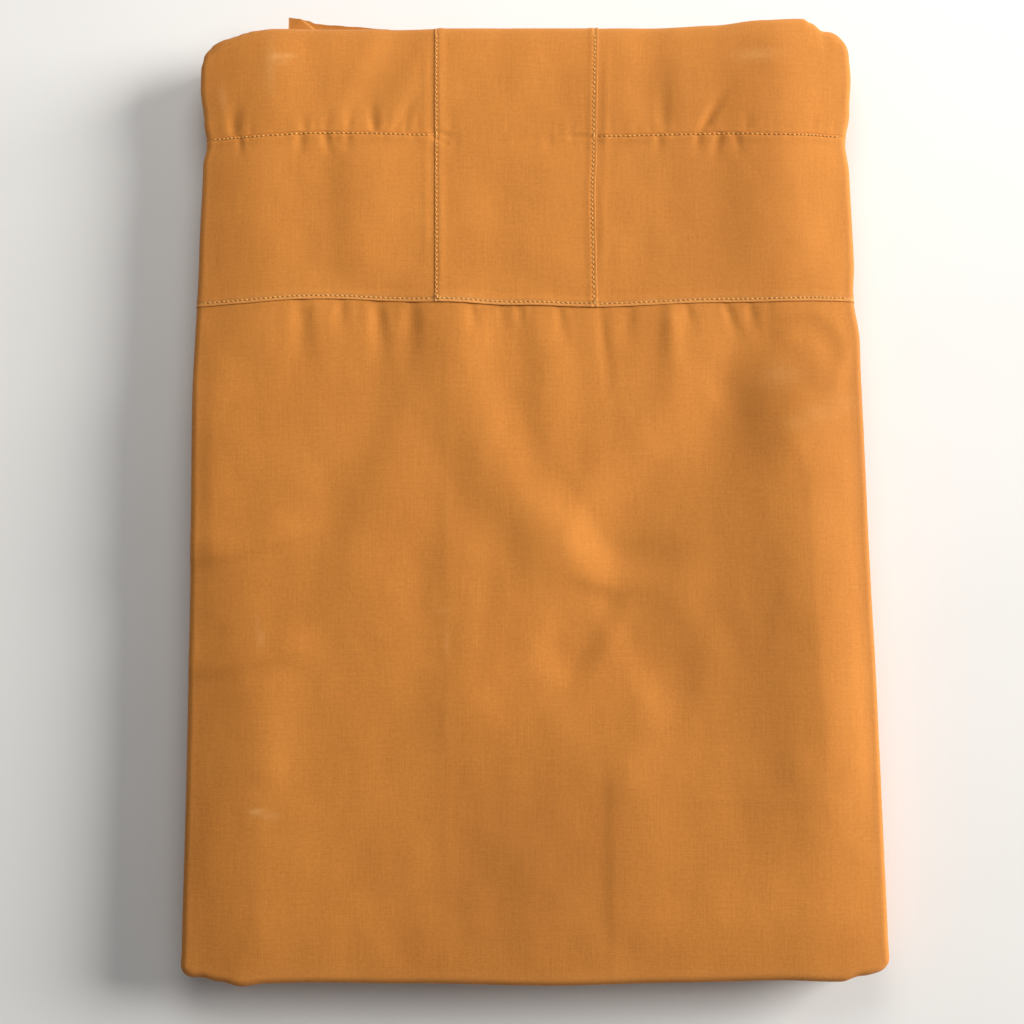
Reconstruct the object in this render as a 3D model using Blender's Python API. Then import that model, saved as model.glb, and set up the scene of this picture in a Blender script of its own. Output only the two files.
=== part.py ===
"""A monk's robe of plain-weave cloth, folded into a flat packet that lies on its underside.

The uppermost layer is patchwork: a large field, two cross strips, an upright strip and two upper
blocks. It wraps over the edges of the packet. The layers below it are one rounded solid whose
sides show the folded leaves. X runs across the packet, Y from its front to its back, Z is up.
"""

import math
from collections import namedtuple

import bmesh
import bpy
from mathutils import Vector

MM = 0.001

# Sizes of the folded packet, in millimetres
WIDTH = 284.0
LENGTH = 405.0
EDGE_HEIGHT = 21.0
CROWN_HEIGHT = 25.2
CORNER_FRONT = 2.4
CORNER_BACK = 4.5
BOX_CENTRE = (0.1, 5.7)

# How far in from each side the cloth keeps rising to the crown
RISE_LEFT = 34.0
RISE_RIGHT = 36.0
RISE_FRONT = 24.0
RISE_BACK = 26.0

# Cloth: thickness of one panel and of a strip with its folded edges, and the gap between pieces
PANEL_THICK = 1.2
STRIP_THICK = 1.9
UPRIGHT_THICK = 2.5
GAP = 0.3

# Radius of the inner side of the cloth where it turns over the packet's edges
TURN_SIDE = 1.9
TURN_FRONT = 1.9
TURN_BACK = 2.8
TURN_STEPS = 5
PANEL_TURN = 148.0
STRIP_TURN = 140.0
UPRIGHT_TURN = 128.0

# Seam lines of the patchwork
CROSS_LOW = 76.8
CROSS_HIGH = 152.5
UPRIGHT_LEFT = -39.8
UPRIGHT_RIGHT = 30.2

Step = namedtuple("Step", "at offset")
Fold = namedtuple("Fold", "path half_width height")
Pucker = namedtuple("Pucker", "x seam side length half_width height")
Leaf = namedtuple("Leaf", "low high left right front back wave_start")

# How far each side of the packet stands outside its plain rectangle, by the place along the side
LEFT_OFFSETS = (
    Step(-202.5, 0.6), Step(-190, 0.1), Step(-120, -0.3), Step(-40, -0.2), Step(45, 0.5),
    Step(100, -0.9), Step(140, -1.8), Step(150, -3.4), Step(160, -1.8), Step(176, 0.1),
    Step(188, 0.1), Step(195, -0.9), Step(202.5, -2.6),
)
RIGHT_OFFSETS = (
    Step(-202.5, 0.9), Step(-185, 0.4), Step(-100, -0.1), Step(-20, -0.9), Step(60, -1.1),
    Step(80, -3.2), Step(95, -2.2), Step(135, -2.6), Step(149, -3.9), Step(163, -1.4),
    Step(180, -0.2), Step(190, -0.5), Step(202.5, -2.2),
)
FRONT_OFFSETS = (
    Step(-142, -3.1), Step(-134, -3.2), Step(-126, -1.6), Step(-117.5, 0.3), Step(-108, -0.8),
    Step(-90, -1.0), Step(-50, -0.4), Step(10, 0.9), Step(60, 0.1), Step(100, -0.4),
    Step(122.5, 0.4), Step(130, -1.7), Step(142, -3.8),
)
BACK_OFFSETS = (
    Step(-142, -6.4), Step(-132, -3.9), Step(-119, -0.4), Step(-110, 0.8), Step(-80, 0.7),
    Step(-40, 0.1), Step(30, -0.8), Step(60, -0.8), Step(82, 0.1), Step(104, 2.2),
    Step(122, 3.2), Step(126, 1.3), Step(132, -2.4), Step(142, -3.2),
)
OFFSET_REACH = 26.0

# How far the two cross seams and the upright strip's right edge stray from straight lines
CROSS_HIGH_SWAY = (
    Step(-142, -0.9), Step(-89, 1.4), Step(-40, 0.2), Step(32, -1.2), Step(83, -0.5), Step(142, -3.6),
)
CROSS_LOW_SWAY = (
    Step(-142, 0.0), Step(-120, 2.1), Step(-88, 2.3), Step(-40, 0.4), Step(-4, -1.2),
    Step(30, -2.3), Step(82, -0.7), Step(142, -0.5),
)
UPRIGHT_SWAY = (
    Step(30, 0.0), Step(70, -0.7), Step(122, -0.9), Step(152, 0.3), Step(202, 1.6),
)
SWAY_REACH = 45.0
SWAY_AT_EDGE = 0.35

# The largest folds of the field: the line they follow, half width and height, below 0 a trough
FOLDS = (
    Fold(((-31, 66), (-12, 22), (20, -40)), 22, 1.2),
    Fold(((86, 28), (46, -10), (35, -42), (42, -95)), 24, -1.3),
    Fold(((118, 15), (113, -60), (108, -130)), 34, 1.5),
    Fold(((109, 28), (138, 43)), 11, -0.9),
    Fold(((-104, -24), (-138, -38)), 13, -0.9),
    Fold(((-104, -74), (-130, -88)), 12, -0.8),
    Fold(((28, -125), (24, -190)), 26, -0.9),
    Fold(((-64, -165), (-48, -195)), 12, -0.6),
)

# The largest puckers that the stitching draws into the cloth beside the cross seams
PUCKERS = (
    Pucker(-126, CROSS_HIGH, 1, 14, 7, -0.7),
    Pucker(-92, CROSS_HIGH, 1, 12, 7, -0.6),
    Pucker(-62, CROSS_HIGH, 1, 18, 7, -0.8),
    Pucker(-47, CROSS_HIGH, 1, 30, 8, -0.9),
    Pucker(59, CROSS_HIGH, 1, 30, 7, -0.6),
    Pucker(77, CROSS_HIGH, 1, 32, 8, -1.0),
    Pucker(-97, CROSS_HIGH, -1, 14, 7, -0.6),
    Pucker(-82, CROSS_HIGH, -1, 16, 7, -0.6),
    Pucker(84, CROSS_HIGH, -1, 16, 8, -0.8),
    Pucker(-90, CROSS_LOW, -1, 16, 7, -0.6),
    Pucker(-63, CROSS_LOW, -1, 22, 7, -0.8),
    Pucker(-42, CROSS_LOW, -1, 30, 8, -0.9),
    Pucker(-10, CROSS_LOW, -1, 16, 7, -0.6),
    Pucker(30, CROSS_LOW, -1, 44, 8, -0.8),
    Pucker(54, CROSS_LOW, -1, 26, 8, -1.0),
    Pucker(85, CROSS_LOW, -1, 20, 7, -0.8),
)
RELIEF_MARGIN = 14.0
DEEPEST_TROUGH = 1.6

# The folded leaves under the uppermost one, from the table up: their height, how far each of
# their sides stands outside the uppermost leaf, and where their waves start, in turns
LEAVES = (
    Leaf(0.0, 3.9, -1.6, -1.0, -0.6, -2.4, 0.0),
    Leaf(3.9, 7.7, -0.6, -1.9, -1.8, -1.2, 0.4),
    Leaf(7.7, 11.4, -1.7, -0.9, -0.4, -2.6, 0.75),
    Leaf(11.4, 15.0, -0.9, -1.5, -1.2, -1.4, 0.15),
)
LEAF_WAVE = 0.45
LEAF_WAVE_LENGTH = 130.0
GROOVE_DEPTH = 2.3
LOBE_POINTS = ((0.75, 0.55), (0.5, 0.0), (0.25, 0.55))
CORE_TURNS = (45.0, 90.0, 125.0)
CORE_GAP = 0.65

# The hemmed corner of an inner layer: how far it stands out of the groove under the third leaf
# from the top, by the place along the back
CORNER_REACH = (Step(-105.5, 13.2), Step(-94, 9.0), Step(-80, 5.2), Step(-56, 1.4))
CORNER_THICK = 1.0
CORNER_GAP = -0.35
CORNER_COLUMNS = 8

# Grid steps of the modelled cloth
FIELD_COLUMNS = 40
FIELD_ROWS = 16
FIELD_ROW_SPREAD = 1.25
CROSS_COLUMNS = 14
CROSS_ROWS = 7
UPRIGHT_COLUMNS = 9
UPRIGHT_ROWS = 11
BLOCK_ROWS = 5
CORE_CROSS_COLUMNS = 7
CORE_UPRIGHT_COLUMNS = 5
CORE_FIELD_ROWS = 15
CORE_CROSS_ROWS = 5
CORE_BLOCK_ROWS = 3

# A place closer than this to a turn line counts as lying on it
ON_LINE = 0.01

# Look of the cloth
SMOOTH_ANGLE = 50.0
CLOTH_ROUGHNESS = 0.85
CLOTH_COLOUR = (0.58, 0.235, 0.058)
STRIP_COLOUR = (0.56, 0.225, 0.055)
HIDDEN_COLOUR = (0.50, 0.195, 0.045)

HALF_X = WIDTH / 2 - TURN_SIDE - PANEL_THICK
HALF_FRONT = LENGTH / 2 - TURN_FRONT - PANEL_THICK
HALF_BACK = LENGTH / 2 - TURN_BACK - PANEL_THICK


def clear_scene():
    for old in list(bpy.data.objects):
        bpy.data.objects.remove(old, do_unlink=True)


def eased(x):
    """0 below 0, 1 above 1 and a smooth step between."""
    x = min(max(x, 0.0), 1.0)
    return x * x * (3 - 2 * x)


def rounded_rise(x):
    """0 at 0, 1 above 1, steep at first and level at the end."""
    return math.sin(min(max(x, 0.0), 1.0) * math.pi / 2)


def offset_at(table, at):
    """The offset that a table of steps gives at a place, eased from step to step."""
    if at <= table[0].at:
        return table[0].offset
    for low, high in zip(table, table[1:]):
        if at <= high.at:
            share = eased((at - low.at) / (high.at - low.at))
            return low.offset + share * (high.offset - low.offset)
    return table[-1].offset


def fold_profile(distance):
    """A soft rounded ridge across its half width, 1 in the middle and 0 at the rim."""
    if distance >= 1:
        return 0.0
    return 0.5 + 0.5 * math.cos(math.pi * distance)


def distance_to_path(path, x, y):
    """Distance from a place to a line of straight stretches."""
    nearest = math.inf
    for (x0, y0), (x1, y1) in zip(path, path[1:]):
        along = Vector((x1 - x0, y1 - y0))
        reach = Vector((x - x0, y - y0))
        share = min(max(reach.dot(along) / along.length_squared, 0.0), 1.0)
        nearest = min(nearest, (reach - share * along).length)
    return nearest


def fold_height(fold, x, y):
    """How much one fold raises the cloth at a place."""
    return fold.height * fold_profile(distance_to_path(fold.path, x, y) / fold.half_width)


def pucker_height(pucker, x, y):
    """How much one pucker lowers the cloth beside its seam."""
    away = (y - pucker.seam) * pucker.side
    if away < 0 or away > pucker.length:
        return 0.0
    across = abs(x - pucker.x) / pucker.half_width
    return pucker.height * fold_profile(across) * (1 - eased(away / pucker.length))


def side_distances(s, t):
    """Distances of a place on the flat cloth to the left, right, front and back turns."""
    return HALF_X + s, HALF_X - s, HALF_FRONT + t, HALF_BACK - t


def relief(s, t):
    """Height of the folds and puckers, which die out towards the packet's edges."""
    margin = eased(min(side_distances(s, t)) / RELIEF_MARGIN)
    if margin == 0:
        return 0.0
    height = sum(fold_height(fold, s, t) for fold in FOLDS)
    height += sum(pucker_height(pucker, s, t) for pucker in PUCKERS)
    return height * margin


def crown(s, t):
    """Height of the layer under the visible cloth, lower towards the edges."""
    left, right, front, back = side_distances(s, t)
    share = rounded_rise(left / RISE_LEFT) * rounded_rise(right / RISE_RIGHT)
    share *= rounded_rise(front / RISE_FRONT) * rounded_rise(back / RISE_BACK)
    return EDGE_HEIGHT + (CROWN_HEIGHT - EDGE_HEIGHT) * share


def rounded_corner(s, t):
    """A place on the flat cloth with the packet's corners rounded, and its outward direction."""
    half_y = HALF_BACK if t > 0 else HALF_FRONT
    radius = CORNER_BACK if t > 0 else CORNER_FRONT
    over_x = (abs(s) - (HALF_X - radius)) / radius
    over_y = (abs(t) - (half_y - radius)) / radius
    sign_x = math.copysign(1, s)
    sign_y = math.copysign(1, t)
    if over_x <= 0 or over_y <= 0:
        out_x = sign_x if over_x > over_y else 0.0
        out_y = 0.0 if over_x > over_y else sign_y
        return s, t, out_x, out_y
    round_x = over_x * math.sqrt(1 - over_y ** 2 / 2)
    round_y = over_y * math.sqrt(1 - over_x ** 2 / 2)
    x = sign_x * (HALF_X - radius + radius * round_x)
    y = sign_y * (half_y - radius + radius * round_y)
    length = math.hypot(round_x, round_y)
    return x, y, sign_x * round_x / length, sign_y * round_y / length


def side_offsets(s, t):
    """How far the packet's uneven outline moves a place on the flat cloth."""
    left, right, front, back = side_distances(s, t)
    x = offset_at(RIGHT_OFFSETS, t) * (1 - eased(right / OFFSET_REACH))
    x -= offset_at(LEFT_OFFSETS, t) * (1 - eased(left / OFFSET_REACH))
    y = offset_at(BACK_OFFSETS, s) * (1 - eased(back / OFFSET_REACH))
    y -= offset_at(FRONT_OFFSETS, s) * (1 - eased(front / OFFSET_REACH))
    return x, y


def seam_sway(s, t):
    """How far the uneven seams move a place on the flat cloth."""
    high = 1 - eased(abs(t - CROSS_HIGH) / SWAY_REACH)
    low = 1 - eased(abs(t - CROSS_LOW) / SWAY_REACH)
    y = offset_at(CROSS_HIGH_SWAY, s) * high + offset_at(CROSS_LOW_SWAY, s) * low
    x = offset_at(UPRIGHT_SWAY, t) * (1 - eased(abs(s - UPRIGHT_RIGHT) / SWAY_REACH))
    inside = eased(min(side_distances(s, t)) / SWAY_REACH)
    return x, y * max(inside, SWAY_AT_EDGE)


def turn_radius(out_x, out_y):
    """Radius of the turn over the edge, wider along the back."""
    back = TURN_BACK if out_y > 0 else TURN_FRONT
    return TURN_SIDE * out_x ** 2 + back * out_y ** 2


def place(s, t, turn, lift):
    """Point of the cloth, for a place on it, its turn over the edge in degrees, and its lift."""
    x, y, out_x, out_y = rounded_corner(s, t)
    offset_x, offset_y = side_offsets(s, t)
    sway_x, sway_y = seam_sway(s, t)
    height = crown(s, t) + relief(s, t)
    radius = turn_radius(out_x, out_y)
    angle = math.radians(turn)
    reach = (radius + lift) * math.sin(angle)
    drop = radius - (radius + lift) * math.cos(angle)
    x += offset_x + sway_x + out_x * reach - BOX_CENTRE[0]
    y += offset_y + sway_y + out_y * reach - BOX_CENTRE[1]
    return Vector((x, y, height - drop)) * MM


def even_lines(low, high, steps):
    return [low + (high - low) * i / steps for i in range(steps + 1)]


def cloth_lines(low, high, steps, spread=1.0):
    """Grid lines of a piece, closer together towards its high end where spread is above 1.

    Two more lines round the packet's corner where the piece reaches an edge of the packet.
    """
    turns_low = low in (-HALF_X, -HALF_FRONT)
    turns_high = high in (HALF_X, HALF_BACK)
    first = low + CORNER_BACK if turns_low else low
    last = high - CORNER_BACK if turns_high else high
    lines = [last - (last - first) * (1 - i / steps) ** spread for i in range(steps + 1)]
    if turns_low:
        lines = [low, low + CORNER_FRONT] + lines
    if turns_high:
        lines = lines + [high - CORNER_FRONT, high]
    return lines


def lay_grid(columns, rows):
    """A grid of one face between each two lines, which keeps its flat places in a layer."""
    bm = bmesh.new()
    across = len(columns) - 1
    up = len(rows) - 1
    bmesh.ops.create_grid(bm, x_segments=across, y_segments=up, size=0.5)
    flat = bm.verts.layers.float_vector.new("flat")
    for vert in bm.verts:
        s = columns[round((vert.co.x + 0.5) * across)]
        t = rows[round((vert.co.y + 0.5) * up)]
        vert[flat] = (s, t, 0.0)
    return bm, flat


def on_turn(vert, flat):
    """True where a place lies on the line along which the cloth turns over the edge."""
    return min(abs(distance) for distance in side_distances(*vert[flat][:2])) < ON_LINE


def outer_edges(bm, flat):
    """Border edges that run along the packet's edge."""
    border = [edge for edge in bm.edges if edge.is_boundary]
    return [edge for edge in border if all(on_turn(vert, flat) for vert in edge.verts)
            and on_same_side(edge, flat)]


def on_same_side(edge, flat):
    """True where both ends of an edge lie on one side of the packet."""
    first = side_distances(*edge.verts[0][flat][:2])
    second = side_distances(*edge.verts[1][flat][:2])
    return any(abs(a) < ON_LINE and abs(b) < ON_LINE for a, b in zip(first, second))


def extruded(bm, edges):
    """Extrudes edges and returns the new edges and the new points."""
    made = bmesh.ops.extrude_edge_only(bm, edges=edges)["geom"]
    verts = [item for item in made if isinstance(item, bmesh.types.BMVert)]
    found = set(verts)
    ring = [item for item in made if isinstance(item, bmesh.types.BMEdge)
            and all(vert in found for vert in item.verts)]
    return ring, verts


def add_object(name, bm, colour):
    """Turns a finished bmesh into an object with a material of its own."""
    bmesh.ops.recalc_face_normals(bm, faces=bm.faces[:])
    mesh = bpy.data.meshes.new(name)
    bm.to_mesh(mesh)
    bm.free()
    mesh.shade_smooth()
    mesh.set_sharp_from_angle(angle=math.radians(SMOOTH_ANGLE))
    material = bpy.data.materials.new(name)
    material.use_nodes = True
    shader = material.node_tree.nodes["Principled BSDF"]
    shader.inputs["Base Color"].default_value = (*colour, 1.0)
    shader.inputs["Roughness"].default_value = CLOTH_ROUGHNESS
    shader.inputs["Metallic"].default_value = 0.0
    mesh.materials.append(material)
    obj = bpy.data.objects.new(name, mesh)
    bpy.context.collection.objects.link(obj)
    return obj


def cloth_panel(name, columns, rows, thickness, last_turn, colour):
    """A wall of cloth over part of the packet, turned over those edges that it reaches."""
    bm, flat = lay_grid(columns, rows)
    edges = outer_edges(bm, flat)
    for turn in even_lines(0.0, last_turn, TURN_STEPS)[1:]:
        edges, verts = extruded(bm, edges)
        for vert in verts:
            vert[flat] = (*vert[flat][:2], turn)
    outer = set(bm.verts)
    bmesh.ops.extrude_face_region(bm, geom=bm.faces[:])
    for vert in bm.verts:
        s, t, turn = vert[flat]
        vert.co = place(s, t, turn, thickness if vert in outer else 0.0)
    return add_object(name, bm, colour)


def patchwork():
    """The six pieces of the uppermost layer, a gap apart along their seams."""
    seam = GAP / 2
    left_columns = cloth_lines(-HALF_X, UPRIGHT_LEFT - seam, CROSS_COLUMNS)
    right_columns = cloth_lines(UPRIGHT_RIGHT + seam, HALF_X, CROSS_COLUMNS)
    upright_columns = cloth_lines(UPRIGHT_LEFT + seam, UPRIGHT_RIGHT - seam, UPRIGHT_COLUMNS)
    field_rows = cloth_lines(-HALF_FRONT, CROSS_LOW - seam, FIELD_ROWS, FIELD_ROW_SPREAD)
    cross_rows = cloth_lines(CROSS_LOW + seam, CROSS_HIGH - seam, CROSS_ROWS)
    block_rows = cloth_lines(CROSS_HIGH + seam, HALF_BACK, BLOCK_ROWS)
    upright_rows = cloth_lines(CROSS_LOW + seam, HALF_BACK, UPRIGHT_ROWS)
    field_columns = cloth_lines(-HALF_X, HALF_X, FIELD_COLUMNS)
    panel = (PANEL_THICK, PANEL_TURN, CLOTH_COLOUR)
    strip = (STRIP_THICK, STRIP_TURN, STRIP_COLOUR)
    upright = (UPRIGHT_THICK, UPRIGHT_TURN, STRIP_COLOUR)
    cloth_panel("field_panel", field_columns, field_rows, *panel)
    cloth_panel("cross_strip_left", left_columns, cross_rows, *strip)
    cloth_panel("cross_strip_right", right_columns, cross_rows, *strip)
    cloth_panel("upright_strip", upright_columns, upright_rows, *upright)
    cloth_panel("upper_block_left", left_columns, block_rows, *panel)
    cloth_panel("upper_block_right", right_columns, block_rows, *panel)


def leaf_offset(leaf, out_x, out_y):
    """How far one leaf stands outside the uppermost one, in an outward direction."""
    side_x = leaf.right if out_x > 0 else leaf.left
    side_y = leaf.back if out_y > 0 else leaf.front
    return side_x * out_x ** 2 + side_y * out_y ** 2


def leaf_ring(verts, flat, leaf, share, inset):
    """Puts a ring of points at a share of a leaf's height, inset from the leaf's outermost line."""
    height = leaf.low + share * (leaf.high - leaf.low)
    for vert in verts:
        s, t = vert[flat][:2]
        out_x, out_y = rounded_corner(s, t)[2:]
        wave = math.sin(math.tau * ((s + t) / LEAF_WAVE_LENGTH + leaf.wave_start))
        reach = turn_radius(out_x, out_y) + PANEL_THICK + leaf_offset(leaf, out_x, out_y)
        reach += LEAF_WAVE * wave - inset
        base = place(s, t, 0.0, 0.0)
        vert.co = (base.x + out_x * reach * MM, base.y + out_y * reach * MM, height * MM)


def hidden_layers():
    """All the leaves below the uppermost layer, one solid with rounded, layered sides."""
    columns = cloth_lines(-HALF_X, UPRIGHT_LEFT, CORE_CROSS_COLUMNS)
    columns += cloth_lines(UPRIGHT_LEFT, UPRIGHT_RIGHT, CORE_UPRIGHT_COLUMNS)[1:]
    columns += cloth_lines(UPRIGHT_RIGHT, HALF_X, CORE_CROSS_COLUMNS)[1:]
    rows = cloth_lines(-HALF_FRONT, CROSS_LOW, CORE_FIELD_ROWS)
    rows += cloth_lines(CROSS_LOW, CROSS_HIGH, CORE_CROSS_ROWS)[1:]
    rows += cloth_lines(CROSS_HIGH, HALF_BACK, CORE_BLOCK_ROWS)[1:]
    bm, flat = lay_grid(columns, rows)
    for vert in bm.verts:
        s, t = vert[flat][:2]
        dip = DEEPEST_TROUGH * eased(min(side_distances(s, t)) / RELIEF_MARGIN)
        point = place(s, t, 0.0, 0.0)
        vert.co = (point.x, point.y, (crown(s, t) - CORE_GAP - dip) * MM)
    edges = outer_edges(bm, flat)
    for turn in CORE_TURNS:
        edges, verts = extruded(bm, edges)
        for vert in verts:
            vert.co = place(*vert[flat][:2], turn, -CORE_GAP)
    for leaf in reversed(LEAVES):
        edges, verts = extruded(bm, edges)
        leaf_ring(verts, flat, leaf, 1.0, GROOVE_DEPTH)
        for share, inset in LOBE_POINTS:
            edges, verts = extruded(bm, edges)
            leaf_ring(verts, flat, leaf, share, inset)
    edges, verts = extruded(bm, edges)
    leaf_ring(verts, flat, LEAVES[0], 0.0, GROOVE_DEPTH / 2)
    bmesh.ops.contextual_create(bm, geom=edges)
    return add_object("hidden_layers", bm, HIDDEN_COLOUR)


def inner_corner():
    """The hemmed corner of an inner layer that peeps out behind the packet."""
    first, last = CORNER_REACH[0].at, CORNER_REACH[-1].at
    bm, flat = lay_grid(even_lines(first, last, CORNER_COLUMNS), (0.0, 1.0))
    low = LEAVES[-1].low - CORNER_THICK / 2
    outer = set(bm.verts)
    bmesh.ops.extrude_face_region(bm, geom=bm.faces[:])
    for vert in bm.verts:
        s, share, turn = vert[flat]
        root = place(s, HALF_BACK, 0.0, 0.0)
        reach = TURN_BACK + PANEL_THICK + LEAVES[-1].back + CORNER_GAP
        reach += share * offset_at(CORNER_REACH, s)
        height = low + (CORNER_THICK if vert in outer else 0.0)
        vert.co = (root.x, root.y + reach * MM, height * MM)
    return add_object("inner_corner", bm, CLOTH_COLOUR)


def main():
    clear_scene()
    patchwork()
    hidden_layers()
    inner_corner()


main()
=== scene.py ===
# %% [markdown]
# # A monk's robe, folded into a flat packet
# The real robe is a large rectangle of plain-weave cotton, pieced together from fields and narrow
# strips and dyed saffron. Here it is folded many times and lies on a table. One piece of its
# patchwork is uppermost: a large field, two cross strips, an upright strip and two upper blocks.
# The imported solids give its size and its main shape. This script gives it finer cloth, stitches,
# folded edges, a woven finish, light and a camera. All lengths below are in millimetres.

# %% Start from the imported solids
import math
import random
from collections import namedtuple

import bmesh
import bpy
import numpy as np
from mathutils import Matrix, Vector


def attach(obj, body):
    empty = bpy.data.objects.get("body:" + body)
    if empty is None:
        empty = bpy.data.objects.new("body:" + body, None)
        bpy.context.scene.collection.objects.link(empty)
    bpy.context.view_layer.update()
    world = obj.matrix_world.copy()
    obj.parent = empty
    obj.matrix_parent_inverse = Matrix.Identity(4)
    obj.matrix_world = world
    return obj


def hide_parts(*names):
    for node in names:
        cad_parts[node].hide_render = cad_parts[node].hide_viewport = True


MM = 0.001
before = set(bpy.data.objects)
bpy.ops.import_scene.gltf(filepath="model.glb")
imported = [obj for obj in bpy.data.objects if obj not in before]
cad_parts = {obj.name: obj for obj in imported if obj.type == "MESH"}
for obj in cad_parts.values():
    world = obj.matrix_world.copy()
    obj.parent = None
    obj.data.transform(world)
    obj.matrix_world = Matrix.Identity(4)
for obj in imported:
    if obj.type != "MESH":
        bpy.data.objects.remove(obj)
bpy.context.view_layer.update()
print("packed solids:", sorted(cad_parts))

# %% [markdown]
# ## The flat cloth and its place on the packet
# Every piece is described on the flat cloth first, by s across and t along, as on a cutting table.
# One function then lays any place of the flat cloth on the packet: it rounds the corners, follows
# the uneven outline, raises the crown and the folds, and turns the cloth over the packet's edges.
# Modelling the flat piece and bending it afterwards keeps neighbouring pieces in step, and it gives
# the weave coordinates that follow the cloth. The arrays of numpy place all points in one go.

# %% Sizes of the packet
WIDTH = 284.0
LENGTH = 405.0
EDGE_HEIGHT = 21.0
CROWN_HEIGHT = 25.2
CORNER_FRONT = 2.4
CORNER_BACK = 4.5
BOX_CENTRE = (0.1, 5.7)
RISE_LEFT = 31.0
RISE_RIGHT = 34.0
RISE_FRONT = 24.0
RISE_BACK = 20.0
FULL_ENDS = 0.6
FULL_LEFT = 0.3
FULL_RIGHT = 0.3
PANEL_THICK = 1.2
STRIP_THICK = 1.3
UPRIGHT_THICK = 1.4
GAP = 0.12
TURN_SIDE = 1.9
TURN_FRONT = 1.9
TURN_BACK = 2.8
CROSS_LOW = 76.8
CROSS_HIGH = 152.5
UPRIGHT_LEFT = -39.8
UPRIGHT_RIGHT = 30.2
HALF_X = WIDTH / 2 - TURN_SIDE - PANEL_THICK
HALF_FRONT = LENGTH / 2 - TURN_FRONT - PANEL_THICK
HALF_BACK = LENGTH / 2 - TURN_BACK - PANEL_THICK

Step = namedtuple("Step", "at offset")

# %% How far each side stands outside a plain rectangle
LEFT_OFFSETS = (
    Step(-202.5, 0.6), Step(-190, 0.1), Step(-120, -0.3), Step(-40, -0.2), Step(45, 0.5),
    Step(100, -0.9), Step(140, -1.8), Step(150, -3.4), Step(160, -1.8), Step(176, 0.1),
    Step(188, 0.1), Step(195, -0.9), Step(202.5, -2.6),
)
RIGHT_OFFSETS = (
    Step(-202.5, 0.9), Step(-185, 0.4), Step(-100, -0.1), Step(-20, -0.9), Step(60, -1.1),
    Step(80, -3.2), Step(95, -2.2), Step(135, -2.6), Step(149, -3.9), Step(163, -1.4),
    Step(180, -0.2), Step(190, -0.5), Step(202.5, -2.2),
)
FRONT_OFFSETS = (
    Step(-142, -3.1), Step(-134, -3.2), Step(-126, -1.6), Step(-117.5, 0.3), Step(-108, -0.8),
    Step(-90, -1.0), Step(-50, -0.4), Step(10, 0.9), Step(60, 0.1), Step(100, -0.4),
    Step(122.5, 0.4), Step(130, -1.7), Step(142, -3.8),
)
BACK_OFFSETS = (
    Step(-142, -6.4), Step(-137, -5.2), Step(-132, -3.9), Step(-128, -2.9), Step(-123.5, -1.6),
    Step(-119, -0.7), Step(-110, 0.0), Step(-80, -0.3),
    Step(-40, -0.5), Step(30, -0.9), Step(60, -0.8), Step(82, 0.1), Step(104, 2.2),
    Step(122, 3.2), Step(126, 1.3), Step(132, -2.4), Step(142, -3.2),
)
OFFSET_REACH = 26.0

# %% How far the seams stray from straight lines
CROSS_HIGH_SWAY = (
    Step(-142, -0.9), Step(-89, 1.4), Step(-40, 0.2), Step(32, -1.2), Step(83, -0.5), Step(142, -3.6),
)
CROSS_LOW_SWAY = (
    Step(-142, 0.0), Step(-120, 2.1), Step(-88, 2.3), Step(-40, 0.4), Step(-4, -1.2),
    Step(30, -2.3), Step(82, -0.7), Step(142, -0.5),
)
UPRIGHT_SWAY = (
    Step(30, 0.0), Step(70, -0.7), Step(122, -0.9), Step(152, 0.3), Step(202, 1.6),
)
SWAY_REACH = 45.0
SWAY_AT_EDGE = 0.35
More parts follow.
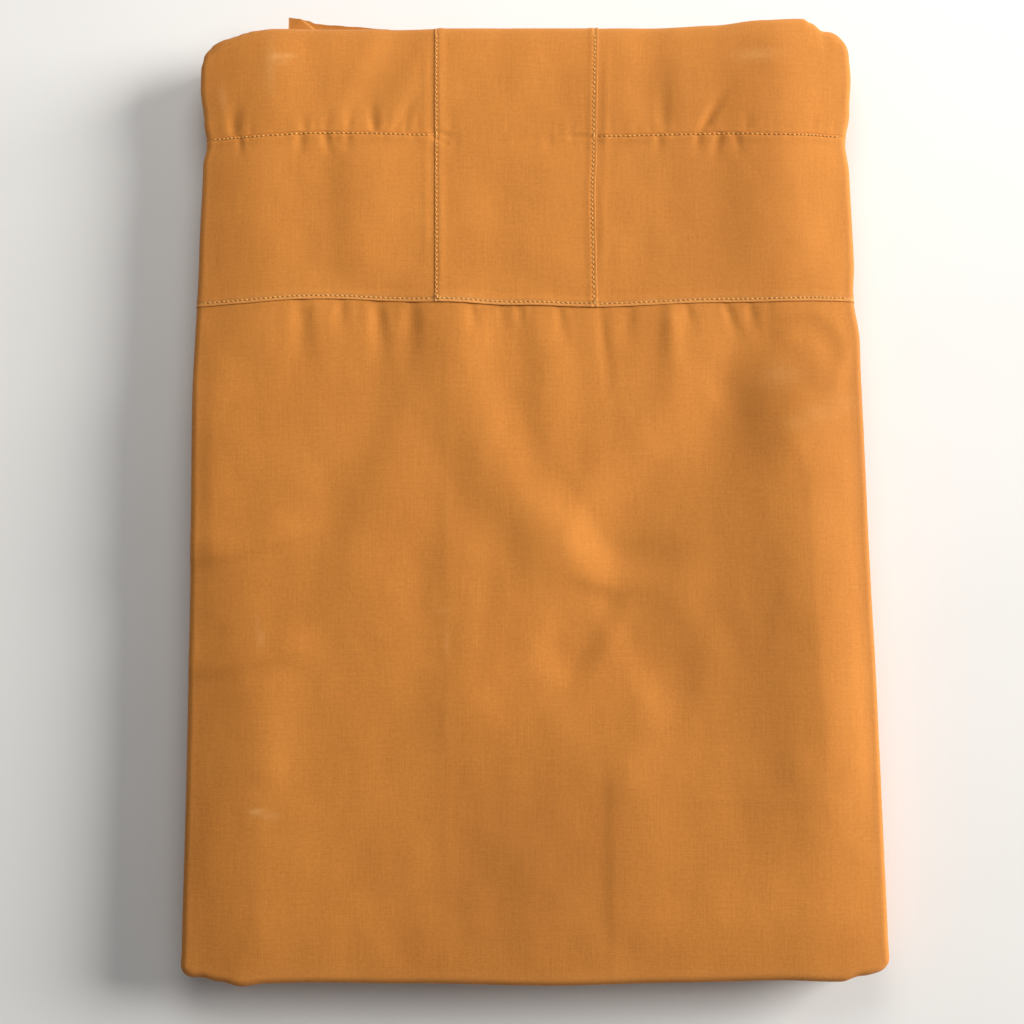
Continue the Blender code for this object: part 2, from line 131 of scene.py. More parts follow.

# %% [markdown]
# ## Folds and creases of the uppermost layer
# Broad folds run where the layers below are uneven, and the pressed lines of earlier foldings
# cross the field. A table row gives each one a line, its width on either side, and its height,
# below 0 for a trough. Such rows are placed from the picture, and no two are alike. A cloth
# simulation would make folds too, but not these ones in these places.

# %% Folds: the line, the width on its left and on its right as one walks along it, and the height
Fold = namedtuple("Fold", "path left right height")
FOLDS = (
    Fold(((-38, 98), (-31, 66), (-26, 39), (-14, 10), (0, -11), (14, -31), (24, -52)), 20, 26, 1.8),
    Fold(((4, 92), (8, 44), (9, 18), (11, -8)), 15, 12, 0.7),
    Fold(((92, 92), (87, 43), (78, 26), (53, 2), (41, -12), (36, -30), (34, -44)), 36, 24, -2.3),
    Fold(((38, -18), (37, -42), (43, -64), (52, -82), (60, -102)), 28, 14, -0.9),
    Fold(((32, -42), (28, -54), (21, -67), (11, -86)), 11, 22, -1.0),
    Fold(((89, 72), (87, 50), (82, 30), (70, 4)), 18, 12, -0.4),
    Fold(
        ((122, 54), (118, 12), (116, -13), (117, -38), (119, -90), (119, -127), (115, -163)),
        34, 42, 2.8,
    ),
    Fold(((141, 102), (139, 72), (134, 52), (122, 34)), 8, 26, 0.7),
    Fold(((103, 240), (104, 150), (108, 76)), 26, 34, 1.0),
    Fold(((90, 62), (98, 42), (107, 26), (115, 6)), 40, 20, 0.9),
    Fold(((111, 13), (123, 19), (135, 28), (147, 42)), 6, 8, -0.3),
    Fold(((94, 56), (102, 64), (112, 67), (122, 64), (128, 56), (124, 42)), 8, 9, -0.45),
    Fold(((-146, 60), (-146, 6), (-146, -42)), 36, 10, 2.0),
    Fold(((-152, -31), (-130, -29), (-112, -25), (-84, -16)), 16, 6, 0.8),
    Fold(((-152, -77), (-128, -75), (-112, -72), (-84, -63)), 14, 7, 0.8),
    Fold(((-110, -76), (-109, -100), (-111, -128)), 24, 22, 0.5),
    Fold(((-44, 84), (-50, 35), (-60, 1), (-72, -32), (-79, -70)), 30, 18, 0.8),
    Fold(((-12, -24), (-10, -46), (-12, -64), (-15, -90)), 26, 10, 0.6),
    Fold(((-27, 6), (-27, -50), (-28, -78), (-30, -112)), 20, 22, 0.8),
    Fold(((40, -104), (39, -140), (38, -165), (37, -196)), 28, 13, 0.55),
    Fold(((-60, -98), (-10, -101), (30, -98), (60, -106)), 30, 44, 0.9),
    Fold(((-66, -158), (-60, -174), (-50, -196)), 16, 12, -0.3),
    Fold(((-48, 216), (-57, 192), (-68, 168), (-76, 150)), 14, 12, -0.8),
    Fold(((54, 214), (53, 180), (56, 150)), 15, 14, -0.7),
    Fold(((-108, 222), (-107, 190), (-107, 146)), 20, 16, 0.6),
    Fold(((-74, 152), (-73, 118), (-72, 80)), 24, 14, 0.8),
    Fold(((14, 150), (10, 118), (4, 84)), 24, 26, 0.5),
    Fold(((-42, 153), (-37, 151.8), (-31, 149.6)), 1.7, 1.5, -0.45),
    Fold(((-42, 150.6), (-37, 148.8), (-33, 146)), 1.5, 1.4, -0.35),
    Fold(((33, 151.8), (26, 151.2), (16, 151.6)), 1.6, 1.4, -0.45),
    Fold(((33, 150), (27, 148.2), (22, 146)), 1.5, 1.4, -0.3),
)

# %% Pressed lines of earlier foldings, sharper than the folds
PRESSED = (
    Fold(((-34.5, 100), (-34.7, 0), (-34.9, -80), (-34.8, -260)), 6, 5, 0.1),
    Fold(((118, 16), (116, -13), (117, -60), (119, -110), (117, -150)), 24, 10, 0.3),
    Fold(((32.4, -112), (32, -150), (31.3, -236)), 7, 5, 0.14),
    Fold(((54, -130.4), (92, -131), (141, -131.4)), 4, 4, 0.09),
    Fold(((33.4, 198), (33.6, 160), (33.0, 120), (32.4, 80)), 3.4, 2.6, 0.22),
    Fold(((-43.2, 198), (-43.4, 150), (-43.0, 78)), 2.6, 3.4, 0.15),
)

# %% [markdown]
# ## Puckers along the seams
# A sewn line is a little shorter than the cloth beside it, so the cloth gathers into short creases
# that start at the stitches and fade away. The clear ones of the picture are listed, and a seeded
# random row of faint ones fills the places between them.

# %% Puckers: place along the seam, seam, side, length, half width, lean sideways, height
Pucker = namedtuple("Pucker", "at seam side length half_width lean height")
PUCKERS = [
    Pucker(-128, CROSS_HIGH, 1, 22, 5.0, 0.1, -0.90),
    Pucker(-95.7, CROSS_HIGH, 1, 12, 3.0, -0.1, -0.40),
    Pucker(-87, CROSS_HIGH, 1, 11, 2.6, 0.1, -0.40),
    Pucker(-77, CROSS_HIGH, 1, 16, 3.2, 0.1, -0.50),
    Pucker(-65.5, CROSS_HIGH, 1, 20, 3.4, -0.1, -0.65),
    Pucker(-57, CROSS_HIGH, 1, 26, 4.2, 0.5, -0.50),
    Pucker(-52.5, CROSS_HIGH, 1, 14, 2.4, 0.2, -0.40),
    Pucker(58.8, CROSS_HIGH, 1, 36, 4.4, 0.0, -0.45),
    Pucker(74.8, CROSS_HIGH, 1, 26, 4.0, 0.58, -0.90),
    Pucker(94, CROSS_HIGH, 1, 12, 3.0, 0.2, -0.40),
    Pucker(-125.7, CROSS_HIGH, -1, 12, 3.0, 0.1, -0.45),
    Pucker(-97.7, CROSS_HIGH, -1, 14, 3.2, 0.0, -0.60),
    Pucker(-87, CROSS_HIGH, -1, 16, 3.2, 0.2, -0.60),
    Pucker(-77, CROSS_HIGH, -1, 12, 2.8, 0.0, -0.45),
    Pucker(57, CROSS_HIGH, -1, 14, 3.2, -0.1, -0.45),
    Pucker(74.5, CROSS_HIGH, -1, 12, 3.0, -0.2, -0.50),
    Pucker(83, CROSS_HIGH, -1, 18, 3.4, -0.2, -0.65),
    Pucker(89.6, CROSS_HIGH, -1, 14, 3.0, 0.2, -0.50),
    Pucker(-96.5, CROSS_LOW, -1, 38, 6.5, 0.05, -0.80),
    Pucker(-79.5, CROSS_LOW, -1, 22, 5.0, 0.0, -0.60),
    Pucker(-64, CROSS_LOW, -1, 34, 5.2, 0.05, -0.90),
    Pucker(-49, CROSS_LOW, -1, 36, 6.2, -0.05, -0.90),
    Pucker(-24, CROSS_LOW, -1, 18, 3.4, 0.1, -0.55),
    Pucker(-12, CROSS_LOW, -1, 14, 3.2, 0.2, -0.40),
    Pucker(-3.6, CROSS_LOW, -1, 16, 3.0, 0.1, -0.40),
    Pucker(13.4, CROSS_LOW, -1, 20, 3.4, 0.1, -0.50),
    Pucker(31.5, CROSS_LOW, -1, 60, 4.0, 0.05, -0.50),
    Pucker(43, CROSS_LOW, -1, 26, 5.0, -0.1, -0.50),
    Pucker(60.5, CROSS_LOW, -1, 50, 6.6, 0.0, 1.10),
    Pucker(67, CROSS_LOW, -1, 18, 3.2, 0.2, -0.45),
    Pucker(83.5, CROSS_LOW, -1, 20, 3.6, 0.3, -0.65),
    Pucker(94, CROSS_LOW, -1, 18, 3.4, 0.1, -0.60),
]
FAINT_SPACING = (3.4, 7.6)
FAINT_LENGTH = (5.0, 14.0)
FAINT_HALF_WIDTH = (1.5, 2.7)
FAINT_HEIGHT = (0.06, 0.26)
FAINT_LEAN = 0.25
FAINT_SHARE = (0.3, 1.0)
FAINT_ON_LOW_STRIP = 0.4
FAINT_MARGIN = 6
chance = random.Random(7)
for seam, side in ((CROSS_HIGH, 1), (CROSS_HIGH, -1), (CROSS_LOW, -1), (CROSS_LOW, 1)):
    at = -HALF_X + FAINT_MARGIN
    weaker = FAINT_ON_LOW_STRIP if side > 0 and seam == CROSS_LOW else 1.0
    while at < HALF_X - FAINT_MARGIN:
        at += chance.uniform(*FAINT_SPACING)
        size = chance.uniform(*FAINT_SHARE) * weaker
        PUCKERS.append(Pucker(
            at, seam, side, chance.uniform(*FAINT_LENGTH), chance.uniform(*FAINT_HALF_WIDTH),
            chance.uniform(-FAINT_LEAN, FAINT_LEAN), -size * chance.uniform(*FAINT_HEIGHT),
        ))
print("puckers along the cross seams:", len(PUCKERS))


# %% Small helpers for soft steps
def eased(x):
    """0 below 0, 1 above 1 and a smooth step between."""
    x = np.clip(x, 0.0, 1.0)
    return x * x * (3 - 2 * x)


def rounded_rise(x):
    """0 at 0, 1 above 1, steep at first and level at the end."""
    return np.sin(np.clip(x, 0.0, 1.0) * math.pi / 2)


def offset_at(table, at):
    """The offset that a table of steps gives at each place, eased from step to step."""
    places, offsets = np.array(table).T
    low = np.clip(np.searchsorted(places, at, side="right") - 1, 0, len(places) - 2)
    share = eased((at - places[low]) / (places[low + 1] - places[low]))
    return offsets[low] + share * (offsets[low + 1] - offsets[low])


# %% Height of a fold: a rounded profile on either side of a smooth line
CURVE_STEPS = 4
FADE_SHARE = 0.22


def smooth_line(points):
    """A curve through a few points, as a denser row of points."""
    points = [Vector(point) for point in points]
    ends = [2 * points[0] - points[1]] + points + [2 * points[-1] - points[-2]]
    line = [points[0]]
    for before, start, end, after in zip(ends, ends[1:], ends[2:], ends[3:]):
        for i in range(1, CURVE_STEPS + 1):
            x = i / CURVE_STEPS
            bend = 2 * before - 5 * start + 4 * end - after
            swing = 3 * start - before - 3 * end + after
            line.append(0.5 * (2 * start + (end - before) * x + bend * x ** 2 + swing * x ** 3))
    return line


def fold_height(fold, s, t, sharp):
    """How much one fold raises the cloth at each place."""
    line = smooth_line(fold.path)
    nearest = np.full(s.shape, np.inf)
    side = np.zeros(s.shape)
    run = np.zeros(s.shape)
    for i, (start, end) in enumerate(zip(line, line[1:])):
        along = end - start
        reach_s = s - start.x
        reach_t = t - start.y
        share = (reach_s * along.x + reach_t * along.y) / along.length_squared
        share = np.clip(share, 0.0, 1.0)
        away = np.hypot(reach_s - share * along.x, reach_t - share * along.y)
        closer = away < nearest
        nearest = np.where(closer, away, nearest)
        side = np.where(closer, along.x * reach_t - along.y * reach_s, side)
        run = np.where(closer, (i + share) / (len(line) - 1), run)
    across = np.clip(nearest / np.where(side > 0, fold.left, fold.right), 0.0, 1.0)
    profile = (1 - across) ** 2 if sharp else 0.5 + 0.5 * np.cos(math.pi * across)
    ends = eased(run / FADE_SHARE) * eased((1 - run) / FADE_SHARE)
    return fold.height * profile * ends


# %% Height of a pucker: a pointed trough that widens and fades away from its seam
PUCKER_AT_SEAM = 0.4
PUCKER_FULL = 0.2
PUCKER_NARROW = 0.8
PUCKER_WIDENS = 0.7


def pucker_height(pucker, s, t):
    """How much one pucker lowers the cloth beside its seam."""
    away = (t - pucker.seam) * pucker.side
    share = np.clip(away / pucker.length, 0.0, 1.0)
    middle = pucker.at + pucker.lean * away
    across = np.abs(s - middle) / (pucker.half_width * (PUCKER_NARROW + PUCKER_WIDENS * share))
    across = np.clip(across, 0.0, 1.0)
    profile = (1 - across) ** 2 * (1 + 2 * across)
    along = (PUCKER_AT_SEAM + (1 - PUCKER_AT_SEAM) * eased(share / PUCKER_FULL)) * (1 - eased(share))
    return np.where(away >= 0, pucker.height * profile * along, 0.0)


# %% Soft unevenness of hand-folded cloth, from a seeded lattice of random heights
LATTICE = 96
LATTICE_MIDDLE = 40


def soft_noise(s, t, pitch_s, pitch_t, seed):
    """A smooth random surface between -1 and 1 with hills about one pitch wide."""
    heights = np.random.default_rng(seed).uniform(-1, 1, (LATTICE, LATTICE))
    a = s / pitch_s + LATTICE_MIDDLE
    b = t / pitch_t + LATTICE_MIDDLE
    column = np.clip(np.floor(a).astype(int), 0, LATTICE - 2)
    row = np.clip(np.floor(b).astype(int), 0, LATTICE - 2)
    share_a = eased(a - column)
    share_b = eased(b - row)
    low = heights[column, row] * (1 - share_a) + heights[column + 1, row] * share_a
    high = heights[column, row + 1] * (1 - share_a) + heights[column + 1, row + 1] * share_a
    return low * (1 - share_b) + high * share_b


# %% The relief of the uppermost layer
RELIEF_AT_EDGE = 0.75
RELIEF_MARGIN = 8.0
Uneven = namedtuple("Uneven", "height pitch_s pitch_t seed")
UNEVENNESS = (Uneven(0.30, 31, 43, 1), Uneven(0.17, 12, 17, 2), Uneven(0.04, 5, 6, 3))


def side_distances(s, t):
    """Distances of a place on the flat cloth to the left, right, front and back turns."""
    return HALF_X + s, HALF_X - s, HALF_FRONT + t, HALF_BACK - t


def edge_distance(s, t):
    """Distance to the nearest turn."""
    return np.minimum.reduce(side_distances(s, t))


def relief(s, t):
    """Height of the folds, pressed lines and puckers, and of the soft unevenness between them."""
    height = sum(fold_height(fold, s, t, False) for fold in FOLDS)
    height += sum(fold_height(fold, s, t, True) for fold in PRESSED)
    height += sum(pucker_height(pucker, s, t) for pucker in PUCKERS)
    for uneven in UNEVENNESS:
        height += uneven.height * soft_noise(s, t, uneven.pitch_s, uneven.pitch_t, uneven.seed)
    share = RELIEF_AT_EDGE + (1 - RELIEF_AT_EDGE) * eased(edge_distance(s, t) / RELIEF_MARGIN)
    return height * share


def crown(s, t):
    """Height of the layer under the visible cloth, lower towards the edges."""
    left, right, front, back = side_distances(s, t)
    share = FULL_LEFT + (1 - FULL_LEFT) * rounded_rise(left / RISE_LEFT)
    share = share * (FULL_RIGHT + (1 - FULL_RIGHT) * rounded_rise(right / RISE_RIGHT))
    ends = rounded_rise(front / RISE_FRONT) * rounded_rise(back / RISE_BACK)
    share = share * (FULL_ENDS + (1 - FULL_ENDS) * ends)
    return EDGE_HEIGHT + (CROWN_HEIGHT - EDGE_HEIGHT) * share


# %% Lay places of the flat cloth on the packet
def rounded_corner(s, t):
    """Places with the packet's corners rounded, and their outward directions."""
    half_y = np.where(t > 0, HALF_BACK, HALF_FRONT)
    radius = np.where(t > 0, CORNER_BACK, CORNER_FRONT)
    over_x = (np.abs(s) - (HALF_X - radius)) / radius
    over_y = (np.abs(t) - (half_y - radius)) / radius
    corner = (over_x > 0) & (over_y > 0)
    sign_x = np.copysign(1.0, s)
    sign_y = np.copysign(1.0, t)
    round_x = over_x * np.sqrt(1 - np.clip(over_y, 0, 1) ** 2 / 2)
    round_y = over_y * np.sqrt(1 - np.clip(over_x, 0, 1) ** 2 / 2)
    length = np.maximum(np.hypot(round_x, round_y), 1e-9)
    x = np.where(corner, sign_x * (HALF_X - radius + radius * round_x), s)
    y = np.where(corner, sign_y * (half_y - radius + radius * round_y), t)
    out_x = np.where(corner, sign_x * round_x / length, np.where(over_x > over_y, sign_x, 0.0))
    out_y = np.where(corner, sign_y * round_y / length, np.where(over_x > over_y, 0.0, sign_y))
    return x, y, out_x, out_y


def outline_and_seams(s, t):
    """How far the packet's uneven outline and the uneven seams move each place."""
    left, right, front, back = side_distances(s, t)
    x = offset_at(RIGHT_OFFSETS, t) * (1 - eased(right / OFFSET_REACH))
    x -= offset_at(LEFT_OFFSETS, t) * (1 - eased(left / OFFSET_REACH))
    y = offset_at(BACK_OFFSETS, s) * (1 - eased(back / OFFSET_REACH))
    y -= offset_at(FRONT_OFFSETS, s) * (1 - eased(front / OFFSET_REACH))
    inside = np.maximum(eased(edge_distance(s, t) / SWAY_REACH), SWAY_AT_EDGE)
    y += inside * offset_at(CROSS_HIGH_SWAY, s) * (1 - eased(np.abs(t - CROSS_HIGH) / SWAY_REACH))
    y += inside * offset_at(CROSS_LOW_SWAY, s) * (1 - eased(np.abs(t - CROSS_LOW) / SWAY_REACH))
    x += offset_at(UPRIGHT_SWAY, t) * (1 - eased(np.abs(s - UPRIGHT_RIGHT) / SWAY_REACH))
    return x, y


def turn_radius(out_x, out_y):
    """Radius of the turn over the edge, wider along the back."""
    back = np.where(out_y > 0, TURN_BACK, TURN_FRONT)
    return TURN_SIDE * out_x ** 2 + back * out_y ** 2


def place(s, t, turn, lift):
    """Points in metres for places on the cloth, their turn in degrees and their lift."""
    x, y, out_x, out_y = rounded_corner(s, t)
    move_x, move_y = outline_and_seams(s, t)
    radius = turn_radius(out_x, out_y)
    angle = np.radians(turn)
    reach = (radius + lift) * np.sin(angle)
    height = crown(s, t) + relief(s, t) - radius + (radius + lift) * np.cos(angle)
    x = x + move_x + out_x * reach - BOX_CENTRE[0]
    y = y + move_y + out_y * reach - BOX_CENTRE[1]
    return np.stack((x, y, height), axis=-1) * MM


# %% [markdown]
# ## Sewn edges
# The edge of a strip is folded under and stitched down. That makes a welt: a rounded rim, a raised
# band about 2.5 mm wide, and a shallow valley where the thread pulls the cloth down. The welt is a
# change of the cloth's thickness by the distance to the edge, so the grid lines stand closer there.

# %% Profile of a sewn edge
RIM_RADIUS = 0.3
WELT_WIDTH = 2.5
WELT_SLOPE = 2.6
WELT_HEIGHT = 0.2
VALLEY_DEPTH = 0.22
VALLEY_WIDTH = 0.62
HEM_LINES = (0.0, 0.06, 0.2, 0.4, 0.7, 1.0, 1.3, 1.6, 1.95, 2.35, 2.9, 3.7)
CORNER_LINES = (0.0, 0.8, 1.6, 2.4, 3.1, 3.8, 4.5)


def welt(distance, stitch_at, height=WELT_HEIGHT):
    """How much a sewn edge adds to the cloth's lift, by the distance to the edge."""
    band = height * (1 - eased((distance - WELT_WIDTH) / WELT_SLOPE))
    valley = VALLEY_DEPTH * np.exp(-((distance - stitch_at) / VALLEY_WIDTH) ** 2)
    inside = np.clip(1 - distance / RIM_RADIUS, 0.0, 1.0)
    rim = RIM_RADIUS * (1 - np.sqrt(1 - inside ** 2))
    return band - valley - rim


def even_lines(low, high, pitch):
    """Lines an even step apart."""
    steps = max(1, round((high - low) / pitch))
    return [low + (high - low) * i / steps for i in range(steps + 1)]


def cloth_lines(low, high, pitch, fine_low=False, fine_high=False):
    """Grid lines of a piece, closer at sewn edges and round the packet's corners."""
    starts = CORNER_LINES if low in (-HALF_X, -HALF_FRONT) else HEM_LINES if fine_low else (0.0,)
    ends = CORNER_LINES if high in (HALF_X, HALF_BACK) else HEM_LINES if fine_high else (0.0,)
    first = low + starts[-1]
    last = high - ends[-1]
    lines = [low + step for step in starts[:-1]]
    lines += even_lines(first, last, pitch)
    lines += [high - step for step in reversed(ends[:-1])]
    return lines


# %% [markdown]
# ## Shells of cloth
# A piece starts as a grid made by bmesh. Its outer border is extruded in small turns where it goes
# over an edge of the packet, and the whole region is extruded once for the thickness. Each point
# remembers its flat place in a layer, so numpy can lay all of them at once. The same layer, with
# the length of the turn added, gives the weave its direction on the real cloth.

# %% Lay a flat grid and turn its outer border
TURN_STEPS = 8
ON_LINE = 0.01


def lay_grid(columns, rows):
    """A flat grid with one face between each two lines."""
    bm = bmesh.new()
    across = len(columns) - 1
    up = len(rows) - 1
    bmesh.ops.create_grid(bm, x_segments=across, y_segments=up, size=0.5)
    flat = bm.verts.layers.float_vector.new("flat")
    for vert in bm.verts:
        s = columns[round((vert.co.x + 0.5) * across)]
        t = rows[round((vert.co.y + 0.5) * up)]
        vert[flat] = (s, t, 0.0)
    return bm, flat


def outer_edges(bm, flat):
    """Border edges that run along the packet's edge."""
    found = []
    for edge in bm.edges:
        if edge.is_boundary:
            first = side_distances(*edge.verts[0][flat][:2])
            second = side_distances(*edge.verts[1][flat][:2])
            if any(abs(a) < ON_LINE and abs(b) < ON_LINE for a, b in zip(first, second)):
                found.append(edge)
    return found


def extruded(bm, edges):
    """Extrudes edges and returns the new edges and the new points."""
    made = bmesh.ops.extrude_edge_only(bm, edges=edges)["geom"]
    verts = [item for item in made if isinstance(item, bmesh.types.BMVert)]
    found = set(verts)
    ring = [item for item in made if isinstance(item, bmesh.types.BMEdge)
            and all(vert in found for vert in item.verts)]
    return ring, verts


def move_points(bm, points):
    """Puts every point of a bmesh at its place."""
    for vert, point in zip(bm.verts, points):
        vert.co = point


# %% Finish an object: weave coordinates, wear with painted highlight and shade, smooth faces
def weave_coordinates(s, t, turned):
    """Places on the flat cloth in metres, past the turn for cloth that goes over an edge."""
    out_x, out_y = rounded_corner(s, t)[2:]
    return np.stack((s + out_x * turned, t + out_y * turned, np.zeros(s.shape)), axis=-1) * MM


def linked_object(name, data):
    """A new object in the scene."""
    obj = bpy.data.objects.new(name, data)
    bpy.context.collection.objects.link(obj)
    return obj


def store(mesh, name, kind, field, values):
    """Keeps a number or a vector on every point of a mesh."""
    layer = mesh.attributes.new(name, kind, "POINT")
    layer.data.foreach_set(field, np.asarray(values, dtype=np.float32).ravel())


def add_object(name, bm, weave, pale_wear_and_highlight, sharp_angle=60.0):
    """Turns a finished bmesh into an object that carries its weave coordinates, its wear with painted
    highlight, and its painted shade.
    """
    bmesh.ops.recalc_face_normals(bm, faces=bm.faces[:])
    mesh = bpy.data.meshes.new(name)
    bm.to_mesh(mesh)
    bm.free()
    mesh.shade_smooth()
    mesh.set_sharp_from_angle(angle=math.radians(sharp_angle))
    mesh.attributes.remove(mesh.attributes["flat"])
    store(mesh, "weave", "FLOAT_VECTOR", "vector", weave)
    store(mesh, "pale_wear_and_highlight", "FLOAT", "value", pale_wear_and_highlight)
    store(mesh, "painted_shade_depth", "FLOAT", "value", painted_shade_depth(*np.asarray(weave).T[:2] / MM))
    obj = linked_object(name, mesh)
    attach(obj, "root")
    triangles = sum(len(face.vertices) - 2 for face in mesh.polygons)
    print(f"{name}: {len(mesh.vertices)} points, {triangles} triangles")
    return obj


# %% [markdown]
# ## Wear, painted highlight and painted shade
# Folded cloth is paler where it has been rubbed: on a few spots where the layers below press up.
# Painted highlight makes it paler as well: a little along the turned edges, where it is partly
# wear, along the raised sewn edges, and in a streak on a ridge at the right. In a few broad
# places painted shade makes it darker instead. Both are numbers on each point, which the
# finish reads.

# %% Where the cloth is rubbed pale or given painted highlight, and where painted shade darkens it
PaleSpot = namedtuple("PaleSpot", "s t half_s half_t strength")
RUBS_AND_HIGHLIGHTS = (
    PaleSpot(-112.4, -58, 0.8, 4.0, 0.22),
    PaleSpot(-111.0, -64, 1.4, 3.2, 0.30),
    PaleSpot(-112, -134, 2.6, 1.0, 0.70),
    PaleSpot(-106, -135.5, 3.6, 1.4, 0.25),
    PaleSpot(-108.6, 187.6, 2.2, 1.6, 0.30),
    PaleSpot(-103.6, 187.9, 3.4, 1.2, 0.36),
    PaleSpot(-104.8, 185.0, 2.4, 1.4, 0.16),
    PaleSpot(-110.8, 183, 3.0, 12.0, 0.20),
    PaleSpot(-34.9, -9, 0.5, 13.0, 0.14),
    PaleSpot(-35.8, -53, 2.8, 1.3, 0.20),
    PaleSpot(-34.8, -66, 0.9, 6.0, 0.24),
    PaleSpot(-35.0, -92, 0.5, 12.0, 0.12),
    PaleSpot(99.5, 185.8, 9.0, 2.6, 0.22),
    PaleSpot(105.7, 44.9, 8.0, 5.0, 0.16),
    # The next three spots are painted highlight: a bright streak on a ridge that faces the light.
    PaleSpot(111, 23.4, 5.0, 2.6, 0.14),
    PaleSpot(121, 27.8, 6.5, 3.4, 0.12),
    PaleSpot(132, 33, 6.5, 4.2, 0.08),
    PaleSpot(-132, 170, 1.6, 5.0, 0.24),
)
# Broad patches of painted shade, which darken the cloth's colour.
ShadePatch = namedtuple("ShadePatch", "s t half_s half_t depth")
SHADE_PATCHES = (
    ShadePatch(-4, -156, 44, 38, 0.30),
    ShadePatch(76, -54, 34, 66, 0.16),
    ShadePatch(86, 112, 30, 46, 0.22),
    ShadePatch(-84, 213, 44, 9, 0.75),
    ShadePatch(92, 38, 13, 22, 0.15),
    ShadePatch(52, 166, 32, 34, 0.17),
    ShadePatch(108, 188, 32, 12, 0.14),
    ShadePatch(132, -8, 18, 52, 0.16),
    ShadePatch(126, 42, 14, 20, 0.20),
    ShadePatch(104, 166, 14, 28, 0.10),
    ShadePatch(142, 50, 5, 60, 0.10),
    ShadePatch(141, -30, 4, 260, 0.22),
    ShadePatch(-60, 20, 26, 60, 0.06),
)
# Along the turned edges the cloth is paler, partly wear and partly painted highlight.
EDGE_WEAR_AND_HIGHLIGHT = 0.05
EDGE_WEAR_AND_HIGHLIGHT_WIDTH = 2.4
# Painted highlight along the raised sewn edges.
LOW_WELT_HIGHLIGHT = 0.24
LOW_WELT_MIDDLE = 1.3
LOWER_END_HIGHLIGHT = 1.7
LOWER_END_LESS = 0.9
SIDE_WELT_HIGHLIGHT = 0.12
SIDE_WELT_WIDTH = 1.2
SIDE_WELT_MIDDLES = (UPRIGHT_LEFT + 1.0, UPRIGHT_RIGHT - 1.2)


def wear_and_painted_highlight(s, t):
    """How much each place is paled by wear and by painted highlight, from 0 to 1."""
    worn_and_highlit = EDGE_WEAR_AND_HIGHLIGHT * np.exp(-(edge_distance(s, t) / EDGE_WEAR_AND_HIGHLIGHT_WIDTH) ** 2)
    for spot in RUBS_AND_HIGHLIGHTS:
        away = ((s - spot.s) / spot.half_s) ** 2 + ((t - spot.t) / spot.half_t) ** 2
        worn_and_highlit = worn_and_highlit + spot.strength * np.exp(-away)
    return worn_and_highlit


def painted_shade_depth(s, t):
    """How much painted shade darkens each place, from 0 to 1."""
    depth = np.zeros(s.shape)
    for shade_patch in SHADE_PATCHES:
        depth += shade_patch.depth * np.exp(-((s - shade_patch.s) / shade_patch.half_s) ** 2 - ((t - shade_patch.t) / shade_patch.half_t) ** 2)
    return depth


def welt_painted_highlight(s, t):
    """Painted highlight on the raised sewn edges, strongest at the upright strip's lower end."""
    from_low = t - CROSS_LOW
    low = LOW_WELT_HIGHLIGHT * np.exp(-((from_low - LOW_WELT_MIDDLE) / LOW_WELT_MIDDLE) ** 2)
    lower_end = (s > UPRIGHT_LEFT) & (s < UPRIGHT_RIGHT)
    across = (s - UPRIGHT_LEFT) / (UPRIGHT_RIGHT - UPRIGHT_LEFT)
    low = np.where(lower_end, low * (LOWER_END_HIGHLIGHT - LOWER_END_LESS * across), low)
    away = np.minimum(*(np.abs(s - middle) for middle in SIDE_WELT_MIDDLES))
    return np.where(from_low >= 0, low + SIDE_WELT_HIGHLIGHT * np.exp(-(away / SIDE_WELT_WIDTH) ** 2), 0.0)


# %% Build a shell of cloth over part of the packet
def cloth_shell(name, columns, rows, last_turn, lift):
    """A wall of cloth whose outer side has the lift that a function gives for each flat place."""
    bm, flat = lay_grid(columns, rows)
    edges = outer_edges(bm, flat)
    for i in range(1, TURN_STEPS + 1):
        edges, verts = extruded(bm, edges)
        for vert in verts:
            vert[flat] = (*vert[flat][:2], last_turn * i / TURN_STEPS)
    outer = len(bm.verts)
    bmesh.ops.extrude_face_region(bm, geom=bm.faces[:])
    s, t, turn = np.array([vert[flat] for vert in bm.verts]).T
    is_outer = np.arange(len(s)) < outer
    thick = np.where(is_outer, lift(s, t), 0.0)
    move_points(bm, place(s, t, turn, thick))
    out_x, out_y = rounded_corner(s, t)[2:]
    turned = np.radians(turn) * (turn_radius(out_x, out_y) + thick)
    pale_wear_and_highlight = wear_and_painted_highlight(s, t) + welt_painted_highlight(s, t)
    return add_object(name, bm, weave_coordinates(s, t, turned), pale_wear_and_highlight)


# %% [markdown]
# ## The large field
# The plain field below the lower seam is one piece of cloth. It goes over both long sides and the
# front of the packet. Its upper edge lies under the sewn edge of the strips, so it gets no welt.

# %% The field
FIELD_TURN = 148.0
FIELD_PITCH = 1.35
FIELD_ROW_PITCH = 1.75
PUCKER_PITCH = 1.1
PUCKER_REACH = 30.0
half_gap = GAP / 2
field_columns = cloth_lines(-HALF_X, HALF_X, FIELD_PITCH)
field_rows = cloth_lines(-HALF_FRONT, CROSS_LOW - PUCKER_REACH, FIELD_ROW_PITCH)
field_rows += cloth_lines(CROSS_LOW - PUCKER_REACH, CROSS_LOW - half_gap, PUCKER_PITCH)[1:]


def plain_lift(s, t):
    """The field and the blocks have one thickness."""
    return np.full(s.shape, PANEL_THICK)


field_cloth = cloth_shell("field_cloth", field_columns, field_rows, FIELD_TURN, plain_lift)

# %% [markdown]
# ## Cross strips, blocks and the upright strip
# The cross strips lie over the field and the blocks, and both their long edges are sewn. The
# upright strip lies over their ends and runs up over the back of the packet. At its lower end
# all the folded edges meet, so the welt is at its thickest there.

